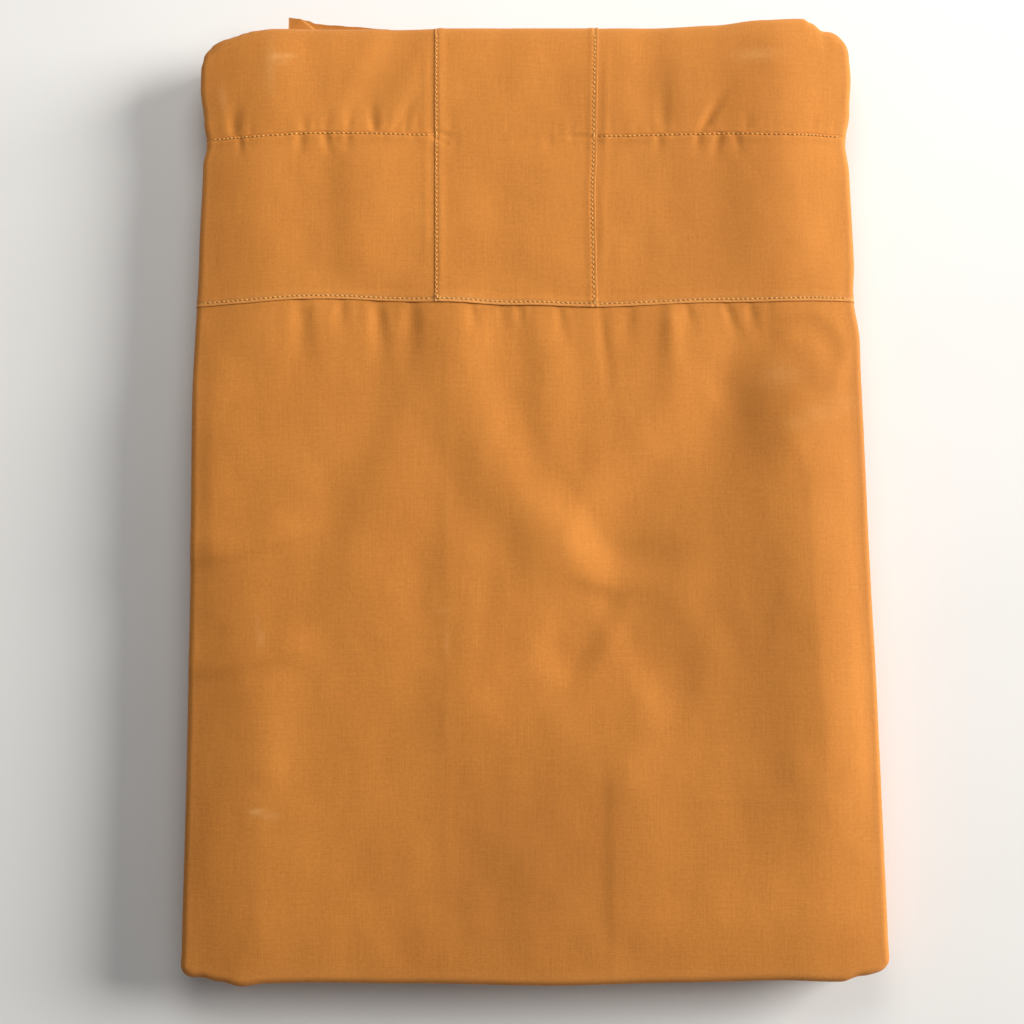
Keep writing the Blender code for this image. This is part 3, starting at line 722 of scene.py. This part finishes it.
# %% Lift of the sewn pieces
STITCH_CROSS_LOW = 1.6
STITCH_CROSS_HIGH = 1.1
STITCH_UPRIGHT_LEFT = 1.0
STITCH_UPRIGHT_RIGHT = 1.7
LOWER_WELT = 0.34


def cross_lift(s, t):
    """A cross strip with both long edges sewn."""
    low = welt(t - CROSS_LOW - half_gap, STITCH_CROSS_LOW)
    high = welt(CROSS_HIGH - half_gap - t, STITCH_CROSS_HIGH)
    return STRIP_THICK + low + high


def upright_lift(s, t):
    """The upright strip with its two sides and its lower end sewn."""
    left = welt(s - UPRIGHT_LEFT - half_gap, STITCH_UPRIGHT_LEFT)
    right = welt(UPRIGHT_RIGHT - half_gap - s, STITCH_UPRIGHT_RIGHT)
    low = welt(t - CROSS_LOW - half_gap, STITCH_CROSS_LOW, LOWER_WELT)
    return UPRIGHT_THICK + left + right + low


# %% The sewn pieces
STRIP_TURN = 140.0
UPRIGHT_TURN = 128.0
SEWN_PITCH = 1.15
inner_left = UPRIGHT_LEFT + half_gap
inner_right = UPRIGHT_RIGHT - half_gap
left_columns = cloth_lines(-HALF_X, UPRIGHT_LEFT - half_gap, SEWN_PITCH)
right_columns = cloth_lines(UPRIGHT_RIGHT + half_gap, HALF_X, SEWN_PITCH)
upright_columns = cloth_lines(inner_left, inner_right, SEWN_PITCH, True, True)
cross_rows = cloth_lines(CROSS_LOW + half_gap, CROSS_HIGH - half_gap, SEWN_PITCH, True, True)
block_rows = cloth_lines(CROSS_HIGH + half_gap, HALF_BACK, SEWN_PITCH)
upright_rows = cloth_lines(CROSS_LOW + half_gap, HALF_BACK, SEWN_PITCH, True)

strip_left = cloth_shell("strip_left_cloth", left_columns, cross_rows, STRIP_TURN, cross_lift)
strip_right = cloth_shell("strip_right_cloth", right_columns, cross_rows, STRIP_TURN, cross_lift)
upright = cloth_shell("upright_cloth", upright_columns, upright_rows, UPRIGHT_TURN, upright_lift)
block_left = cloth_shell("block_left_cloth", left_columns, block_rows, FIELD_TURN, plain_lift)
block_right = cloth_shell("block_right_cloth", right_columns, block_rows, FIELD_TURN, plain_lift)

# %% [markdown]
# ## The folded layers below
# The rest of the robe is a stack of nearly fifty layers. Only their folded ends show, at the sides
# of the packet. They share one rounded solid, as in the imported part. A ring of points runs round the
# packet at each level, and every folded end is a small rounded lobe of a few rings. The ends are
# uneven: some are thick where a fold wraps others, and each one wanders in and out on its own.

# %% Folded ends, from the table up: thickness of each, in the four main leaves
Leaf = namedtuple("Leaf", "low high left right front back wave_start ends")
LEAVES = (
    Leaf(0.0, 3.9, -1.6, -1.0, -0.6, -2.4, 0.0, (1.3, 0.8, 0.9, 0.9)),
    Leaf(3.9, 7.7, -0.6, -1.9, -1.8, -1.2, 0.4, (0.8, 1.2, 0.7, 1.1)),
    Leaf(7.7, 11.4, -1.7, -0.9, -0.4, -2.6, 0.75, (0.9, 0.7, 1.3, 0.8)),
    Leaf(11.4, 15.0, -0.9, -1.5, -1.2, -1.4, 0.15, (0.7, 1.0, 0.8, 1.1)),
)
LEAF_WAVE = 0.45
LEAF_WAVE_LENGTH = 130.0
LEAF_GROOVE = 1.9
END_GROOVE = 0.75
END_WANDER = 0.55
END_WANDER_PITCH = (38, 46)
FINE_WANDER = 0.4 * END_WANDER
FINE_WANDER_PITCH = (11, 13)
END_RISE = 0.22
END_RISE_PITCH = (34, 41)
FINE_SEEDS = 500
RISE_SEEDS = 900
LOBE = ((0.86, 0.42), (0.68, 0.1), (0.5, 0.0), (0.32, 0.1), (0.14, 0.42))
CORE_TURNS = (30.0, 60.0, 90.0, 125.0)
CORE_GAP = 0.65
CORE_PITCH = 2.6
Ring = namedtuple("Ring", "turn height leaf inset seed")


def lobe_rings():
    """Rings of all the folded ends, from the top down."""
    rings = [Ring(turn, 0.0, None, 0.0, 0) for turn in CORE_TURNS]
    seed = 100
    for leaf in reversed(LEAVES):
        rings.append(Ring(0.0, leaf.high, leaf, LEAF_GROOVE, seed))
        top = leaf.high
        scale = (leaf.high - leaf.low) / sum(leaf.ends)
        for number, end in enumerate(reversed(leaf.ends)):
            seed += 1
            if number:
                rings.append(Ring(0.0, top, leaf, END_GROOVE, seed))
            for share, inset in LOBE:
                rings.append(Ring(0.0, top - (1 - share) * end * scale, leaf, inset, seed))
            top -= end * scale
    rings.append(Ring(0.0, 0.0, LEAVES[0], LEAF_GROOVE / 2, seed))
    return rings


# %% Put one ring of the stack in its place
def ring_points(ring, s, t):
    """Points of one ring of the hidden layers."""
    if ring.leaf is None:
        return place(s, t, np.full(s.shape, ring.turn), np.full(s.shape, -CORE_GAP))
    leaf = ring.leaf
    out_x, out_y = rounded_corner(s, t)[2:]
    side_x = np.where(out_x > 0, leaf.right, leaf.left)
    side_y = np.where(out_y > 0, leaf.back, leaf.front)
    reach = turn_radius(out_x, out_y) + PANEL_THICK + side_x * out_x ** 2 + side_y * out_y ** 2
    reach += LEAF_WAVE * np.sin(math.tau * ((s + t) / LEAF_WAVE_LENGTH + leaf.wave_start))
    reach += END_WANDER * soft_noise(s, t, *END_WANDER_PITCH, ring.seed)
    reach += FINE_WANDER * soft_noise(s, t, *FINE_WANDER_PITCH, ring.seed + FINE_SEEDS)
    reach -= ring.inset
    rise = 0.0
    if ring.height > 0:
        rise = END_RISE * soft_noise(s, t, *END_RISE_PITCH, ring.seed // 2 + RISE_SEEDS)
    base = place(s, t, np.zeros(s.shape), np.zeros(s.shape)) / MM
    x = base[:, 0] + out_x * reach
    y = base[:, 1] + out_y * reach
    height = (ring.height + rise) * (base[:, 2] / EDGE_HEIGHT)
    return np.stack((x, y, height), axis=-1) * MM


# %% The hidden layers as one closed solid
def hidden_layers():
    """Grid on top, a ring for each level of the sides, and a flat face to lie on."""
    columns = cloth_lines(-HALF_X, HALF_X, CORE_PITCH)
    rows = cloth_lines(-HALF_FRONT, HALF_BACK, CORE_PITCH)
    bm, flat = lay_grid(columns, rows)
    s, t, _ = np.array([vert[flat] for vert in bm.verts]).T
    top = place(s, t, np.zeros(s.shape), np.full(s.shape, -CORE_GAP))
    points = [top]
    turned = [np.zeros(len(s))]
    edges = outer_edges(bm, flat)
    for depth, ring in enumerate(lobe_rings(), 1):
        edges, verts = extruded(bm, edges)
        s, t, _ = np.array([vert[flat] for vert in verts]).T
        points.append(ring_points(ring, s, t))
        turned.append(np.full(len(s), float(depth)))
    bmesh.ops.contextual_create(bm, geom=edges)
    move_points(bm, np.concatenate(points))
    s, t, _ = np.array([vert[flat] for vert in bm.verts]).T
    weave = weave_coordinates(s, t, np.concatenate(turned))
    return add_object("folded_layers", bm, weave, np.zeros(len(s)))


layers = hidden_layers()

# %% [markdown]
# ## The corner that peeps out at the back
# A corner of an inner layer stands out behind the packet at its left end. It is hemmed at its left,
# so it is thicker up to a slanting line, which is rubbed pale, and it tapers along the fold. It is
# a small shell of its own.

# %% The inner corner
CORNER_REACH = (
    Step(-105.5, 12.1), Step(-101, 11.5), Step(-97.2, 10.7), Step(-93, 9.2), Step(-86, 8.5),
    Step(-77, 7.7), Step(-63, 6.5), Step(-48, 3.6),
)
CORNER_THICK = 0.8
CORNER_GAP = -0.35
CORNER_HEM = 0.28
CORNER_LINE = (-99.8, 17.0)
HEM_STEP = 0.5
CORNER_CURL = 0.5
CURL_RUN = 12
CURL_PITCH = (9, 7)
CURL_SEED = 31
CORNER_PITCH = 0.5
CORNER_SHARE_PITCH = 0.05
LINE_RUB = 0.7
LINE_RUB_AT = 0.1
LINE_RUB_WIDTH = 0.35
RIM_RUB = 0.3
RIM_RUB_WIDTH = 0.6


def inner_corner():
    """A flat flap that starts in the groove under the top leaf."""
    first = CORNER_REACH[0].at
    last = CORNER_REACH[-1].at
    columns = even_lines(first, last, CORNER_PITCH)
    bm, flat = lay_grid(columns, even_lines(0.0, 1.0, CORNER_SHARE_PITCH))
    outer = len(bm.verts)
    bmesh.ops.extrude_face_region(bm, geom=bm.faces[:])
    s, share, _ = np.array([vert[flat] for vert in bm.verts]).T
    is_outer = np.arange(len(s)) < outer
    reach = share * offset_at(CORNER_REACH, s)
    zero = np.zeros(s.shape)
    root = place(s, zero + HALF_BACK, zero, zero) / MM
    past_line = s - CORNER_LINE[0] - (1 - share) * CORNER_LINE[1]
    hem = CORNER_HEM * (1 - eased(past_line / HEM_STEP))
    curl = CORNER_CURL * soft_noise(s, share * CURL_RUN, *CURL_PITCH, CURL_SEED) * share
    y = root[:, 1] + TURN_BACK + PANEL_THICK + LEAVES[-1].back + CORNER_GAP + reach
    z = LEAVES[-1].low - CORNER_THICK / 2 + curl + np.where(is_outer, CORNER_THICK + hem, -hem)
    move_points(bm, np.stack((root[:, 0], y, z), axis=-1) * MM)
    weave = np.stack((s, y, zero), axis=-1) * MM
    pale_wear_and_highlight = LINE_RUB * np.exp(-((past_line - LINE_RUB_AT) / LINE_RUB_WIDTH) ** 2)
    pale_wear_and_highlight = pale_wear_and_highlight + RIM_RUB * np.exp(-((s - first) / RIM_RUB_WIDTH) ** 2)
    return add_object("inner_corner_cloth", bm, weave, pale_wear_and_highlight)


corner = inner_corner()

# %% [markdown]
# ## Stitches
# A lockstitch shows as a row of short, plump dashes, two millimetres apart, sunk into the cloth
# at both ends. Each dash is a small sphere with few faces, stretched between its two holes and
# turned by a few degrees, as hand-fed seams are. All of them are one joined mesh.

# %% Rows of stitches
STITCH_PITCH = 2.03
STITCH_LENGTH = 1.3
STITCH_WIDTH = 0.5
STITCH_SINK = 0.06
STITCH_DRIFT = 0.08
STITCH_LEAN = (-0.14, 0.02)
STITCH_SIZES = (0.85, 1.1)
ROW_END = 0.6
StitchRow = namedtuple("StitchRow", "start end")
LOW_LINE = CROSS_LOW + STITCH_CROSS_LOW
HIGH_LINE = CROSS_HIGH - STITCH_CROSS_HIGH
LEFT_LINE = UPRIGHT_LEFT + STITCH_UPRIGHT_LEFT
RIGHT_LINE = UPRIGHT_RIGHT - STITCH_UPRIGHT_RIGHT
STITCH_ROWS = (
    StitchRow((-HALF_X, LOW_LINE), (UPRIGHT_LEFT - ROW_END, LOW_LINE)),
    StitchRow((UPRIGHT_RIGHT + ROW_END, LOW_LINE), (HALF_X, LOW_LINE)),
    StitchRow((-HALF_X, HIGH_LINE), (UPRIGHT_LEFT - ROW_END, HIGH_LINE)),
    StitchRow((UPRIGHT_RIGHT + ROW_END, HIGH_LINE), (HALF_X, HIGH_LINE)),
    StitchRow((LEFT_LINE, LOW_LINE), (RIGHT_LINE, LOW_LINE)),
    StitchRow((LEFT_LINE, LOW_LINE), (LEFT_LINE, HALF_BACK)),
    StitchRow((RIGHT_LINE, LOW_LINE), (RIGHT_LINE, HALF_BACK)),
)


def add_stitch(bm, start, end, size):
    """One dash between two points."""
    middle = (start + end) / 2
    along = (end - start).normalized()
    aside = along.cross(Vector((0, 0, 1))).normalized()
    up = aside.cross(along)
    turn = Matrix((along, aside, up)).transposed().to_4x4()
    half_length = STITCH_LENGTH * size * MM / 2
    half_width = STITCH_WIDTH * size * MM / 2
    shape = Matrix.Diagonal((half_length, half_width, STITCH_WIDTH * MM / 2, 1))
    matrix = Matrix.Translation(middle) @ turn @ shape
    bmesh.ops.create_uvsphere(bm, u_segments=6, v_segments=5, radius=1.0, matrix=matrix)


def row_ends(row):
    """Flat places of the two ends of each dash of a row."""
    start = Vector(row.start)
    run = Vector(row.end) - start
    along = run.normalized()
    aside = Vector((-along.y, along.x))
    ends = []
    for i in range(int(run.length / STITCH_PITCH)):
        drift = aside * chance.uniform(-STITCH_DRIFT, STITCH_DRIFT)
        at = start + along * ((i + 0.5) * STITCH_PITCH) + drift
        reach = along * STITCH_LENGTH / 2 + aside * chance.uniform(*STITCH_LEAN)
        ends.append((at - reach, at + reach))
    return ends


def dashes(name, ends, lift):
    """A dash of thread for each pair of flat places, as one mesh."""
    bm = bmesh.new()
    bm.verts.layers.float_vector.new("flat")
    s, t = np.array([(*start, *end) for start, end in ends]).reshape(-1, 2).T
    points = place(s, t, np.zeros(s.shape), lift(s, t) + STITCH_WIDTH / 2 - STITCH_SINK)
    for start, end in zip(points[::2], points[1::2]):
        add_stitch(bm, Vector(start), Vector(end), chance.uniform(*STITCH_SIZES))
    points = np.array([vert.co for vert in bm.verts])
    print(name, "dashes:", len(ends))
    return bm, points


def sewn_lift(s, t):
    """Lift of whichever sewn piece lies at each place."""
    on_upright = (s > UPRIGHT_LEFT) & (s < UPRIGHT_RIGHT)
    return np.where(on_upright, upright_lift(s, t), cross_lift(s, t))


chance = random.Random(11)
sewn_rows = [row_ends(row) for row in STITCH_ROWS]
ends = [pair for row in sewn_rows for pair in row]
bm, points = dashes("seam_stitches", ends, sewn_lift)
stitches = add_object("seam_stitches", bm, points, np.zeros(len(points)), 180.0)

# %% Needle holes: a small dark dot between each two dashes, painted shade where the needle went through
HOLE_RADIUS = 0.27
HOLE_LIFT = 0.03


def painted_hole_shade():
    """Flat dark dots on the sewn lines, as one mesh: painted shade in the needle holes."""
    bm = bmesh.new()
    bm.verts.layers.float_vector.new("flat")
    gaps = [(first[1] + second[0]) / 2 for row in sewn_rows for first, second in zip(row, row[1:])]
    s, t = np.array(gaps).T
    for at in place(s, t, np.zeros(s.shape), sewn_lift(s, t) + HOLE_LIFT):
        matrix = Matrix.Translation(Vector(at))
        bmesh.ops.create_circle(bm, cap_ends=True, segments=6, radius=HOLE_RADIUS * MM, matrix=matrix)
    points = np.array([vert.co for vert in bm.verts])
    return add_object("seam_hole_shade", bm, points, np.zeros(len(points)))


hole_shade_dots = painted_hole_shade()

# %% [markdown]
# ## Knots where the seams meet
# At the two lower corners of the upright strip the machine sewed back and forth, and a small knot
# of thread is left: a few crossed dashes on top of each other. A single crossed dash lies where
# the upper seam meets each side of the strip.

# %% The knots
KNOT_HALF = 0.75
KNOT_LIFT = 0.25
Knot = namedtuple("Knot", "s t turn")
KNOTS = (
    Knot(UPRIGHT_LEFT + 1.6, CROSS_LOW + 1.7, 0), Knot(UPRIGHT_LEFT + 1.2, CROSS_LOW + 2.1, 50),
    Knot(UPRIGHT_LEFT + 1.4, CROSS_LOW + 2.6, 100), Knot(UPRIGHT_LEFT + 2.4, CROSS_LOW + 1.9, 20),
    Knot(UPRIGHT_RIGHT - 1.6, CROSS_LOW + 1.7, 10), Knot(UPRIGHT_RIGHT - 1.4, CROSS_LOW + 2.4, 80),
    Knot(UPRIGHT_RIGHT - 0.9, CROSS_LOW + 2.9, 120), Knot(UPRIGHT_LEFT + 1.0, CROSS_HIGH - 1.0, 60),
    Knot(UPRIGHT_RIGHT - 1.5, CROSS_HIGH - 1.0, 110),
)


def knot_ends(knot):
    """Flat places of the two ends of one crossed dash."""
    half = Vector((math.cos(math.radians(knot.turn)), math.sin(math.radians(knot.turn)))) * KNOT_HALF
    return Vector((knot.s, knot.t)) - half, Vector((knot.s, knot.t)) + half


def knot_lift(s, t):
    """The knots lie on top of the stitches."""
    return upright_lift(s, t) + KNOT_LIFT


bm, points = dashes("seam_knots", [knot_ends(knot) for knot in KNOTS], knot_lift)
knots = add_object("seam_knots", bm, points, np.zeros(len(points)), 180.0)

# %% [markdown]
# ## Writing materials as sums
# A finish is a graph of nodes. One small class wraps a socket, so that a sum or product of wrapped
# sockets adds the Math nodes by itself, and one method makes every other kind of node.


# %% A wrapped socket and a finish
class Amount:
    """A socket whose arithmetic adds Math nodes."""

    def __init__(self, finish, socket):
        self.finish = finish
        self.socket = socket

    def __add__(self, other):
        return self.finish.maths("ADD", self, other)

    def __radd__(self, other):
        return self.finish.maths("ADD", other, self)

    def __sub__(self, other):
        return self.finish.maths("SUBTRACT", self, other)

    def __rsub__(self, other):
        return self.finish.maths("SUBTRACT", other, self)

    def __mul__(self, other):
        return self.finish.maths("MULTIPLY", self, other)

    def __rmul__(self, other):
        return self.finish.maths("MULTIPLY", other, self)

    def clamped(self):
        return self.finish.maths("MAXIMUM", self.finish.maths("MINIMUM", self, 1.0), 0.0)


class Finish:
    """A material that is put together step by step."""

    def __init__(self, name):
        self.material = bpy.data.materials.new(name)
        self.material.use_nodes = True
        self.tree = self.material.node_tree
        self.shader = self.tree.nodes["Principled BSDF"]

    def node(self, kind, settings, inputs, output=0):
        """Makes a node, its settings first and then the values or links of its sockets."""
        made = self.tree.nodes.new(kind)
        for key, value in settings.items():
            setattr(made, key, value)
        for key, value in inputs.items():
            if isinstance(value, Amount):
                self.tree.links.new(value.socket, made.inputs[key])
            else:
                made.inputs[key].default_value = value
        return Amount(self, made.outputs[output])

    def maths(self, operation, first, second=0.0):
        return self.node("ShaderNodeMath", {"operation": operation}, {0: first, 1: second})

    def attribute(self, name, output):
        return self.node("ShaderNodeAttribute", {"attribute_name": name}, {}, output)

    def mixed(self, share, low, high):
        """A colour between two colours."""
        return self.node("ShaderNodeMix", {"data_type": "RGBA"}, {0: share, 6: low, 7: high}, 2)

    def stretched(self, vector, scale):
        """A vector multiplied by three numbers."""
        return self.node("ShaderNodeVectorMath", {"operation": "MULTIPLY"}, {0: vector, 1: scale})

    def noise(self, vector, scale, detail=2.0, roughness=0.5):
        settings = {"noise_dimensions": "3D"}
        inputs = {"Vector": self.stretched(vector, scale), "Scale": 1.0, "Detail": detail,
                  "Roughness": roughness}
        return self.node("ShaderNodeTexNoise", settings, inputs)

    def link(self, name, amount):
        self.tree.links.new(amount.socket, self.shader.inputs[name])


# %% [markdown]
# ## The saffron cloth
# Plain weave: warp and weft threads go over and under each other in turn, about two to a
# millimetre. The bump has a rounded thread for every half wave, and the parity of the two waves
# says which thread is on top. Slubs, thicker bits of hand-spun thread, are long thin streaks of
# noise along each direction. The dye took unevenly, so the colour also changes in broad clouds.

# %% Cloth finish
WARP_PITCH = 0.46
WEFT_PITCH = 0.5
THREAD_WANDER = 0.7
WANDER_SCALE = (420, 420, 1)
DRIFT_SCALE = (90, 110, 1)
WARP_SLUB_SCALE = (1900, 55, 1)
WEFT_SLUB_SCALE = (60, 1700, 1)
GRAIN_SCALE = (700, 700, 1)
CLOUD_SCALE = (26, 22, 1)
TONE_MIDDLE = 0.425
TONE_CONTRAST = 1.35
SHADE_DARKENING = 0.55
SHEEN = 0.08
SHEEN_ROUGHNESS = 0.45
CLOTH_SHINE = 0.25


def cloth_finish(name, dark, light, pale_wear_and_highlight):
    """Woven cloth, dyed between two colours, paled towards a third by wear and painted highlight,
    darkened by painted shade.
    """
    finish = Finish(name)
    weave = finish.attribute("weave", "Vector")
    s = finish.node("ShaderNodeSeparateXYZ", {}, {0: weave}, 0)
    t = finish.node("ShaderNodeSeparateXYZ", {}, {0: weave}, 1)
    wander = finish.noise(weave, WANDER_SCALE) * (THREAD_WANDER * MM)
    drift = finish.noise(weave, DRIFT_SCALE, 1.0) * (3 * THREAD_WANDER * MM)
    warp_wave = finish.maths("SINE", (s + wander + drift) * (math.pi / (WARP_PITCH * MM)))
    weft_wave = finish.maths("SINE", (t + wander - drift) * (math.pi / (WEFT_PITCH * MM)))
    warp_thread = finish.maths("ABSOLUTE", warp_wave)
    weft_thread = finish.maths("ABSOLUTE", weft_wave)
    over = finish.maths("GREATER_THAN", warp_wave * weft_wave, 0.0)
    threads = over * warp_thread * (0.4 + 0.6 * weft_thread)
    threads = threads + (1 - over) * weft_thread * (0.4 + 0.6 * warp_thread)
    warp_slubs = finish.noise(weave, WARP_SLUB_SCALE)
    weft_slubs = finish.noise(weave, WEFT_SLUB_SCALE)
    grain = finish.noise(weave, GRAIN_SCALE, 3.0, 0.65)
    clouds = finish.noise(weave, CLOUD_SCALE)
    tone = 0.34 * warp_slubs + 0.24 * weft_slubs + 0.5 * grain + 0.4 * clouds + 0.14 * threads
    tone = (tone - TONE_MIDDLE) * TONE_CONTRAST
    colour = finish.mixed(tone.clamped(), (*dark, 1), (*light, 1))
    # Painted shade: the colour is darkened in the shade patches.
    depth = finish.attribute("painted_shade_depth", "Fac") * (0.6 + 0.8 * clouds)
    colour = finish.mixed(depth.clamped(), colour, tuple(SHADE_DARKENING * c for c in dark) + (1,))
    # Paler where worn, and where painted highlight is given.
    worn_and_highlit = finish.attribute("pale_wear_and_highlight", "Fac")
    worn_and_highlit = (worn_and_highlit * (0.5 + grain)).clamped()
    finish.link("Base Color", finish.mixed(worn_and_highlit, colour, (*pale_wear_and_highlight, 1)))
    finish.link("Roughness", 0.88 - 0.1 * threads)
    height = 0.045 * threads + 0.025 * warp_slubs + 0.02 * weft_slubs + 0.05 * grain
    bump = finish.node("ShaderNodeBump", {}, {"Height": height, "Strength": 0.8, "Distance": MM})
    finish.link("Normal", bump)
    finish.shader.inputs["Sheen Weight"].default_value = SHEEN
    finish.shader.inputs["Sheen Roughness"].default_value = SHEEN_ROUGHNESS
    finish.shader.inputs["Specular IOR Level"].default_value = CLOTH_SHINE
    return finish.material


# %% Dye the pieces
DARK = (0.48, 0.160, 0.0225)
LIGHT = (0.71, 0.276, 0.049)
# PALE is the colour of wear and of painted highlight.
PALE = (0.80, 0.42, 0.15)
robe_finish = cloth_finish("saffron_cloth", DARK, LIGHT, PALE)
# The folded layers get a darker copy of the cloth: painted shade on the stack's sides.
shaded_layer_finish = cloth_finish(
    "saffron_layers_shaded", tuple(0.9 * c for c in DARK), tuple(0.92 * c for c in LIGHT), PALE
)
for piece in (field_cloth, strip_left, strip_right, upright, block_left, block_right, corner):
    piece.data.materials.append(robe_finish)
layers.data.materials.append(shaded_layer_finish)

# %% [markdown]
# ## The thread
# The thread is a paler gold than the cloth, a little shinier, with fine fibres.


# %% Thread finish
def thread_finish(name, colour):
    """Sewing thread with fine fibres."""
    finish = Finish(name)
    place_on_object = finish.node("ShaderNodeTexCoord", {}, {}, "Object")
    fibres = finish.noise(place_on_object, (5200, 5200, 5200))
    dark = tuple(0.72 * c for c in colour)
    finish.link("Base Color", finish.mixed(fibres, (*dark, 1), (*colour, 1)))
    finish.link("Roughness", 0.6 + 0.2 * fibres)
    finish.shader.inputs["Specular IOR Level"].default_value = 0.2
    bump = finish.node("ShaderNodeBump", {}, {"Height": fibres, "Strength": 0.3, "Distance": 0.1 * MM})
    finish.link("Normal", bump)
    return finish.material


# The dots' dark colour is painted shade: the needle holes are not cut into the cloth.
hole_shade_finish = Finish("needle_hole_shade")
hole_shade_finish.shader.inputs["Base Color"].default_value = (0.16, 0.045, 0.006, 1)
hole_shade_finish.shader.inputs["Roughness"].default_value = 1.0
hole_shade_dots.data.materials.append(hole_shade_finish.material)
thread = thread_finish("gold_thread", (0.95, 0.56, 0.17))
for piece in (stitches, knots):
    piece.data.materials.append(thread)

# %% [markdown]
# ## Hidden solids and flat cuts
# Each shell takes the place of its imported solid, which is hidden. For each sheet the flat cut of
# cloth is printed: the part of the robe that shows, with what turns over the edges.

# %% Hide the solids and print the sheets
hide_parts("field_panel")
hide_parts("cross_strip_left")
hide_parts("cross_strip_right")
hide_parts("upright_strip")
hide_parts("upper_block_left")
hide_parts("upper_block_right")
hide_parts("inner_corner")
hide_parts("hidden_layers")

SIDE_TURN = 6.5
BACK_TURN = 8.0
seam_pieces = (stitches, hole_shade_dots, knots)
left_width = HALF_X + UPRIGHT_LEFT + SIDE_TURN
right_width = HALF_X - UPRIGHT_RIGHT + SIDE_TURN
block_length = HALF_BACK - CROSS_HIGH + BACK_TURN
SHEETS = (
    (field_cloth, 2 * HALF_X + 2 * SIDE_TURN, HALF_FRONT + CROSS_LOW + SIDE_TURN, ()),
    (strip_left, left_width, CROSS_HIGH - CROSS_LOW, ()),
    (strip_right, right_width, CROSS_HIGH - CROSS_LOW, ()),
    (upright, UPRIGHT_RIGHT - UPRIGHT_LEFT, HALF_BACK - CROSS_LOW + BACK_TURN, seam_pieces),
    (block_left, left_width, block_length, ()),
    (block_right, right_width, block_length, ()),
)
for piece, width, length, with_pieces in SHEETS:
    width * MM
    length * MM
    print(f"{piece.name}: cut {width:.0f} x {length:.0f} mm")

# %% [markdown]
# ## Floor, light and camera
# The packet lies on a plain pale table. The light is one large soft lamp, low on the right and a
# little towards the back, a small one at the back that lights the turned edge there, and an even
# pale surrounding. Low light makes shallow folds readable: the side of a fold that faces right is
# bright, and the other one is dark.

# %% The table top
TABLE_HALF = 4.0
TABLE_SINK = 0.1
TABLE_DARK = (0.84, 0.84, 0.83, 1)
TABLE_LIGHT = (0.88, 0.88, 0.87, 1)
floor_mesh = bpy.data.meshes.new("table_top")
bm = bmesh.new()
bmesh.ops.create_grid(bm, x_segments=1, y_segments=1, size=TABLE_HALF)
bmesh.ops.translate(bm, vec=(0, 0, -TABLE_SINK * MM), verts=bm.verts)
bm.to_mesh(floor_mesh)
bm.free()
floor = linked_object("table_top", floor_mesh)
floor_finish = Finish("pale_table")
floor_place = floor_finish.node("ShaderNodeTexCoord", {}, {}, "Object")
floor_tone = floor_finish.noise(floor_place, (9, 9, 9), 3.0)
floor_finish.link("Base Color", floor_finish.mixed(floor_tone, TABLE_DARK, TABLE_LIGHT))
floor_finish.shader.inputs["Roughness"].default_value = 0.9
floor_finish.shader.inputs["Specular IOR Level"].default_value = 0.1
floor_mesh.materials.append(floor_finish.material)

# %% Light
Panel = namedtuple("Panel", "name turn rise away size power")
PANELS = (
    Panel("soft_panel", 14.0, 20.0, 3.0, 1.7, 168.0),
    Panel("back_panel", 90.0, 52.0, 0.76, 0.5, 2.15),
)
LAMP_COLOUR = (1.0, 0.97, 0.93)
SURROUNDING = 0.16


def hang_panel(panel):
    """A round lamp that faces the middle of the packet."""
    lamp = bpy.data.lights.new(panel.name, "AREA")
    lamp.shape = "DISK"
    lamp.size = panel.size
    lamp.energy = panel.power
    lamp.color = LAMP_COLOUR
    holder = linked_object(panel.name, lamp)
    turn = math.radians(panel.turn)
    rise = math.radians(panel.rise)
    level = panel.away * math.cos(rise)
    holder.location = (level * math.cos(turn), level * math.sin(turn), panel.away * math.sin(rise))
    holder.rotation_mode = "QUATERNION"
    holder.rotation_quaternion = (-holder.location).to_track_quat("-Z", "Y")


for panel in PANELS:
    hang_panel(panel)

world = bpy.data.worlds.new("pale_surrounding")
world.use_nodes = True
world.node_tree.nodes["Background"].inputs["Color"].default_value = (1.0, 1.0, 1.0, 1.0)
world.node_tree.nodes["Background"].inputs["Strength"].default_value = SURROUNDING
bpy.context.scene.world = world
bpy.context.scene.view_settings.view_transform = "Standard"

# %% Camera at the photograph's angle
CAMERA_AT = (-7.76, -96.77, 611.42)
CAMERA_TILT = 7.647
CAMERA_ROLL = -0.463
CAMERA_LENS = 50.0
CAMERA_SENSOR = 36.0
camera_data = bpy.data.cameras.new("camera")
camera_data.lens = CAMERA_LENS
camera_data.sensor_width = CAMERA_SENSOR
camera_data.clip_start = 0.01
camera = linked_object("camera", camera_data)
camera.location = Vector(CAMERA_AT) * MM
camera.rotation_mode = "QUATERNION"
tilt = Matrix.Rotation(math.radians(CAMERA_TILT), 3, "X")
roll = Matrix.Rotation(math.radians(CAMERA_ROLL), 3, "Z")
camera.rotation_quaternion = (tilt @ roll).to_quaternion()
bpy.context.scene.camera = camera
